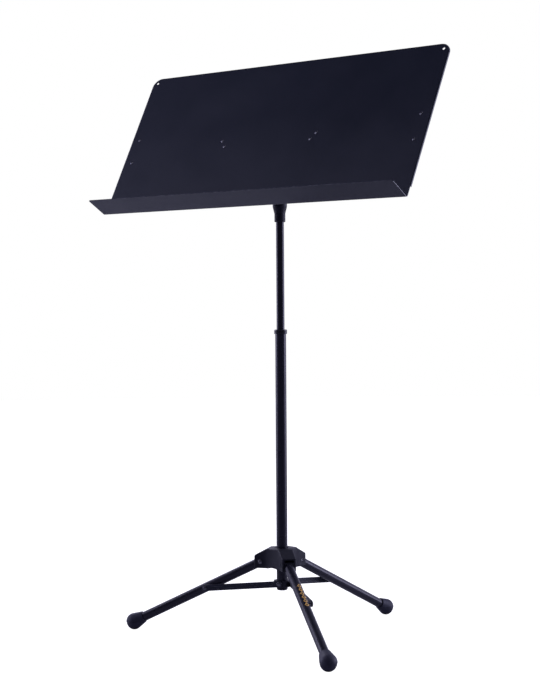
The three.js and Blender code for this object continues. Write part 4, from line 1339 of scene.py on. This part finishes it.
ball_from = math.degrees(math.acos(BALL_RADIUS / math.hypot(cone_back, FOOT_COLLAR)) - cone_turn)
boot_outline = [
    (0, tube_stop + FIT),
    (FOOT_BORE, tube_stop + FIT),
    (FOOT_BORE, start + 0.4 * MM),
    (FOOT_BORE + 0.4 * MM, start),
    (FOOT_COLLAR - 1 * MM, start),
    (FOOT_COLLAR - 0.2 * MM, start + 0.5 * MM),
    (FOOT_COLLAR, cone_start),
    *arc(0, leg_length, BALL_RADIUS, ball_from, 90, 20),
]


def split_off(piece, at, facing, share=(1, 1, 1)):
    """Scales a piece about its ball, then cuts away what lies past a plane and closes the cut."""
    select_only(piece)
    bpy.ops.object.mode_set(mode="EDIT")
    bpy.ops.mesh.select_all(action="SELECT")
    bpy.ops.transform.resize(value=share, center_override=front_ball)
    bpy.ops.mesh.bisect(plane_co=at, plane_no=facing, clear_outer=True, use_fill=True, threshold=1e-6)
    close_mesh()
    return piece


def boot(name):
    """A boot as one turned shape, in its place on the front leg."""
    return place_piece(turn(name, boot_outline, 64), leg_place("front") @ ALONG_X)


def about_the_pole(name):
    """The turn that carries a piece of the front leg to another leg."""
    return pole @ leg_turn(name) @ leg_turn("front").inverted() @ pole.inverted()


out_along = (front_ball - front_hinge).xy.normalized()
up = Vector((out_along.x * TREAD_SLOPE, out_along.y * TREAD_SLOPE, 1)).normalized()
parting = front_ball + Vector((0, 0, PARTING_UP))
foot_model = split_off(boot("rubber_foot_moulded"), parting, -up)
tread = split_off(boot("tread"), parting + up * TREAD_LAP, up, (TREAD_SHARE, TREAD_SHARE, 1))
join_with(foot_model, tread)
split_off(foot_model, (0, 0, 0), (0, 0, -1))
soften(foot_model, 0.35 * MM, 2, 24)
for name, foot in copies(foot_model, LEGS):
    settle(foot, about_the_pole(name), f"leg_{name}", "foot_rubber", rubber, f"rubber_foot_{name}")


# ---------------------------------------------------------------- brace ring and its pins
# A pressed steel ring at the tube's lower end, with three flats. A blackened pin in each flat holds
# the inner end of one brace.
RING_HEIGHT = 14 * MM
RING_LOBE = 17 * MM
RING_FLAT = 13.2 * MM
RING_PIN_OUT = 3 * MM
BRACE_SHEET = 2.6 * MM
brace_inside = RING_FLAT + FIT
ring_height = Vector(joints["brace_fold_front"]["pos_m"]).z
ring_place = Matrix.Translation((pole_x, pole_y, ring_height))
flat_reach = math.degrees(math.acos(RING_FLAT / RING_LOBE))
ring_corners = []
for name in LEGS:
    start = math.degrees(leg_turn(name).to_euler().z) + 90 + flat_reach
    stop = start + 120 - 2 * flat_reach
    ring_corners += [(x, y, -RING_HEIGHT / 2) for x, y in arc(0, 0, RING_LOBE, start, stop, 14)]
ring = outline_piece("brace_ring_pressed", ring_corners, (0, 0, RING_HEIGHT))
soften(ring, 1 * MM, 3, 60)
bore(ring, lower_radius + FIT, -20 * MM, 20 * MM, steps=72)
for name in LEGS:
    hole = pin_tool(HINGE_HOLE, 0, 25 * MM, ALONG_Y, (RING_PIN_OUT, 0, 0))
    cut_with(ring, place_piece(hole, leg_turn(name)))
soften(ring, 0.35 * MM, 2, 40)
settle(ring, ring_place, "pole", "black_steel", black_steel, "brace_ring")


def ring_pin_place(name):
    return ring_place @ leg_turn(name) @ Matrix.Translation((RING_PIN_OUT, 0, 0)) @ ALONG_Y


face = brace_inside + BRACE_SHEET + 0.05 * MM
ring_pin = hinge_pin("brace_ring_pin_domed", lower_radius + 0.6 * MM, face)
for name, pin in copies(ring_pin, LEGS):
    settle(pin, ring_pin_place(name), "pole", "blackened_rivet", rivet_black, f"brace_ring_pin_{name}")


# ---------------------------------------------------------------- braces and their rivets
# Flat steel bars with round ends and a shallow pressed channel along the middle, coated black. Each is
# riveted to the side of its leg over a short spacer.
BRACE_ON_LEG = 130.4 * MM
BRACE_HALF = 6.25 * MM
CHANNEL_HALF = 2.1 * MM
CHANNEL_DEPTH = 0.8 * MM
CHANNEL_FROM_END = 15 * MM


def brace_ends(name):
    """The places of a brace's ring pin and of its rivet on the leg."""
    inner = ring_place @ leg_turn(name) @ Vector((RING_PIN_OUT, 0, 0))
    return inner, leg_place(name) @ Vector((BRACE_ON_LEG, 0, 0))


def brace_place(name):
    return own_frame(*brace_ends(name), name)


brace_from, brace_to = brace_ends("front")
brace_length = (brace_to - brace_from).length
brace_outside = brace_inside + BRACE_SHEET


def capsule_outline(start, stop, half, at_y):
    """A bar's outline with round ends, at one Y."""
    corners = flat_arc((start, 0), half, 90, 270, 14) + flat_arc((stop, 0), half, -90, 90, 14)
    return [(x, at_y, z) for x, z in corners]


bar_outline = capsule_outline(0, brace_length, BRACE_HALF, brace_inside)
bar_model = outline_piece("brace_bar_pressed", bar_outline, (0, BRACE_SHEET, 0))
channel_end = brace_length - CHANNEL_FROM_END
for face, way in ((brace_outside, 1), (brace_inside, -1)):
    floor_at = face - way * CHANNEL_DEPTH
    channel = capsule_outline(CHANNEL_FROM_END, channel_end, CHANNEL_HALF, floor_at)
    cut_with(bar_model, outline_piece("groove", channel, (0, way * 2 * CHANNEL_DEPTH, 0)))
for end in (0, brace_length):
    bore(bar_model, HINGE_HOLE, 0, 25 * MM, ALONG_Y, (end, 0, 0))
soften(bar_model, 0.35 * MM, 2, 40)
for name, bar in copies(bar_model, LEGS):
    settle(bar, brace_place(name), f"brace_{name}", "powder_coated_sheet", sheet_coat, f"brace_bar_{name}")

spacer_from = LEG_RADIUS + FIT
spacer_to = brace_inside - 0.05 * MM
rivet_model = turn("brace_rivet_domed", [
    (0, spacer_from),
    (PIN_HEAD - 0.3 * MM, spacer_from),
    (PIN_HEAD, spacer_from + 0.3 * MM),
    (PIN_HEAD, spacer_to - 0.3 * MM),
    (PIN_HEAD - 0.3 * MM, spacer_to),
    (PIN_RADIUS, spacer_to),
    (PIN_RADIUS, brace_outside + 0.05 * MM),
    *pin_head(brace_outside + 0.05 * MM),
], 40)
place_piece(rivet_model, Matrix.Translation((brace_length, 0, 0)) @ ALONG_Y)
for name, rivet in copies(rivet_model, LEGS):
    settle(rivet, brace_place(name), f"brace_{name}", "blackened_rivet", rivet_black, f"brace_rivet_{name}")
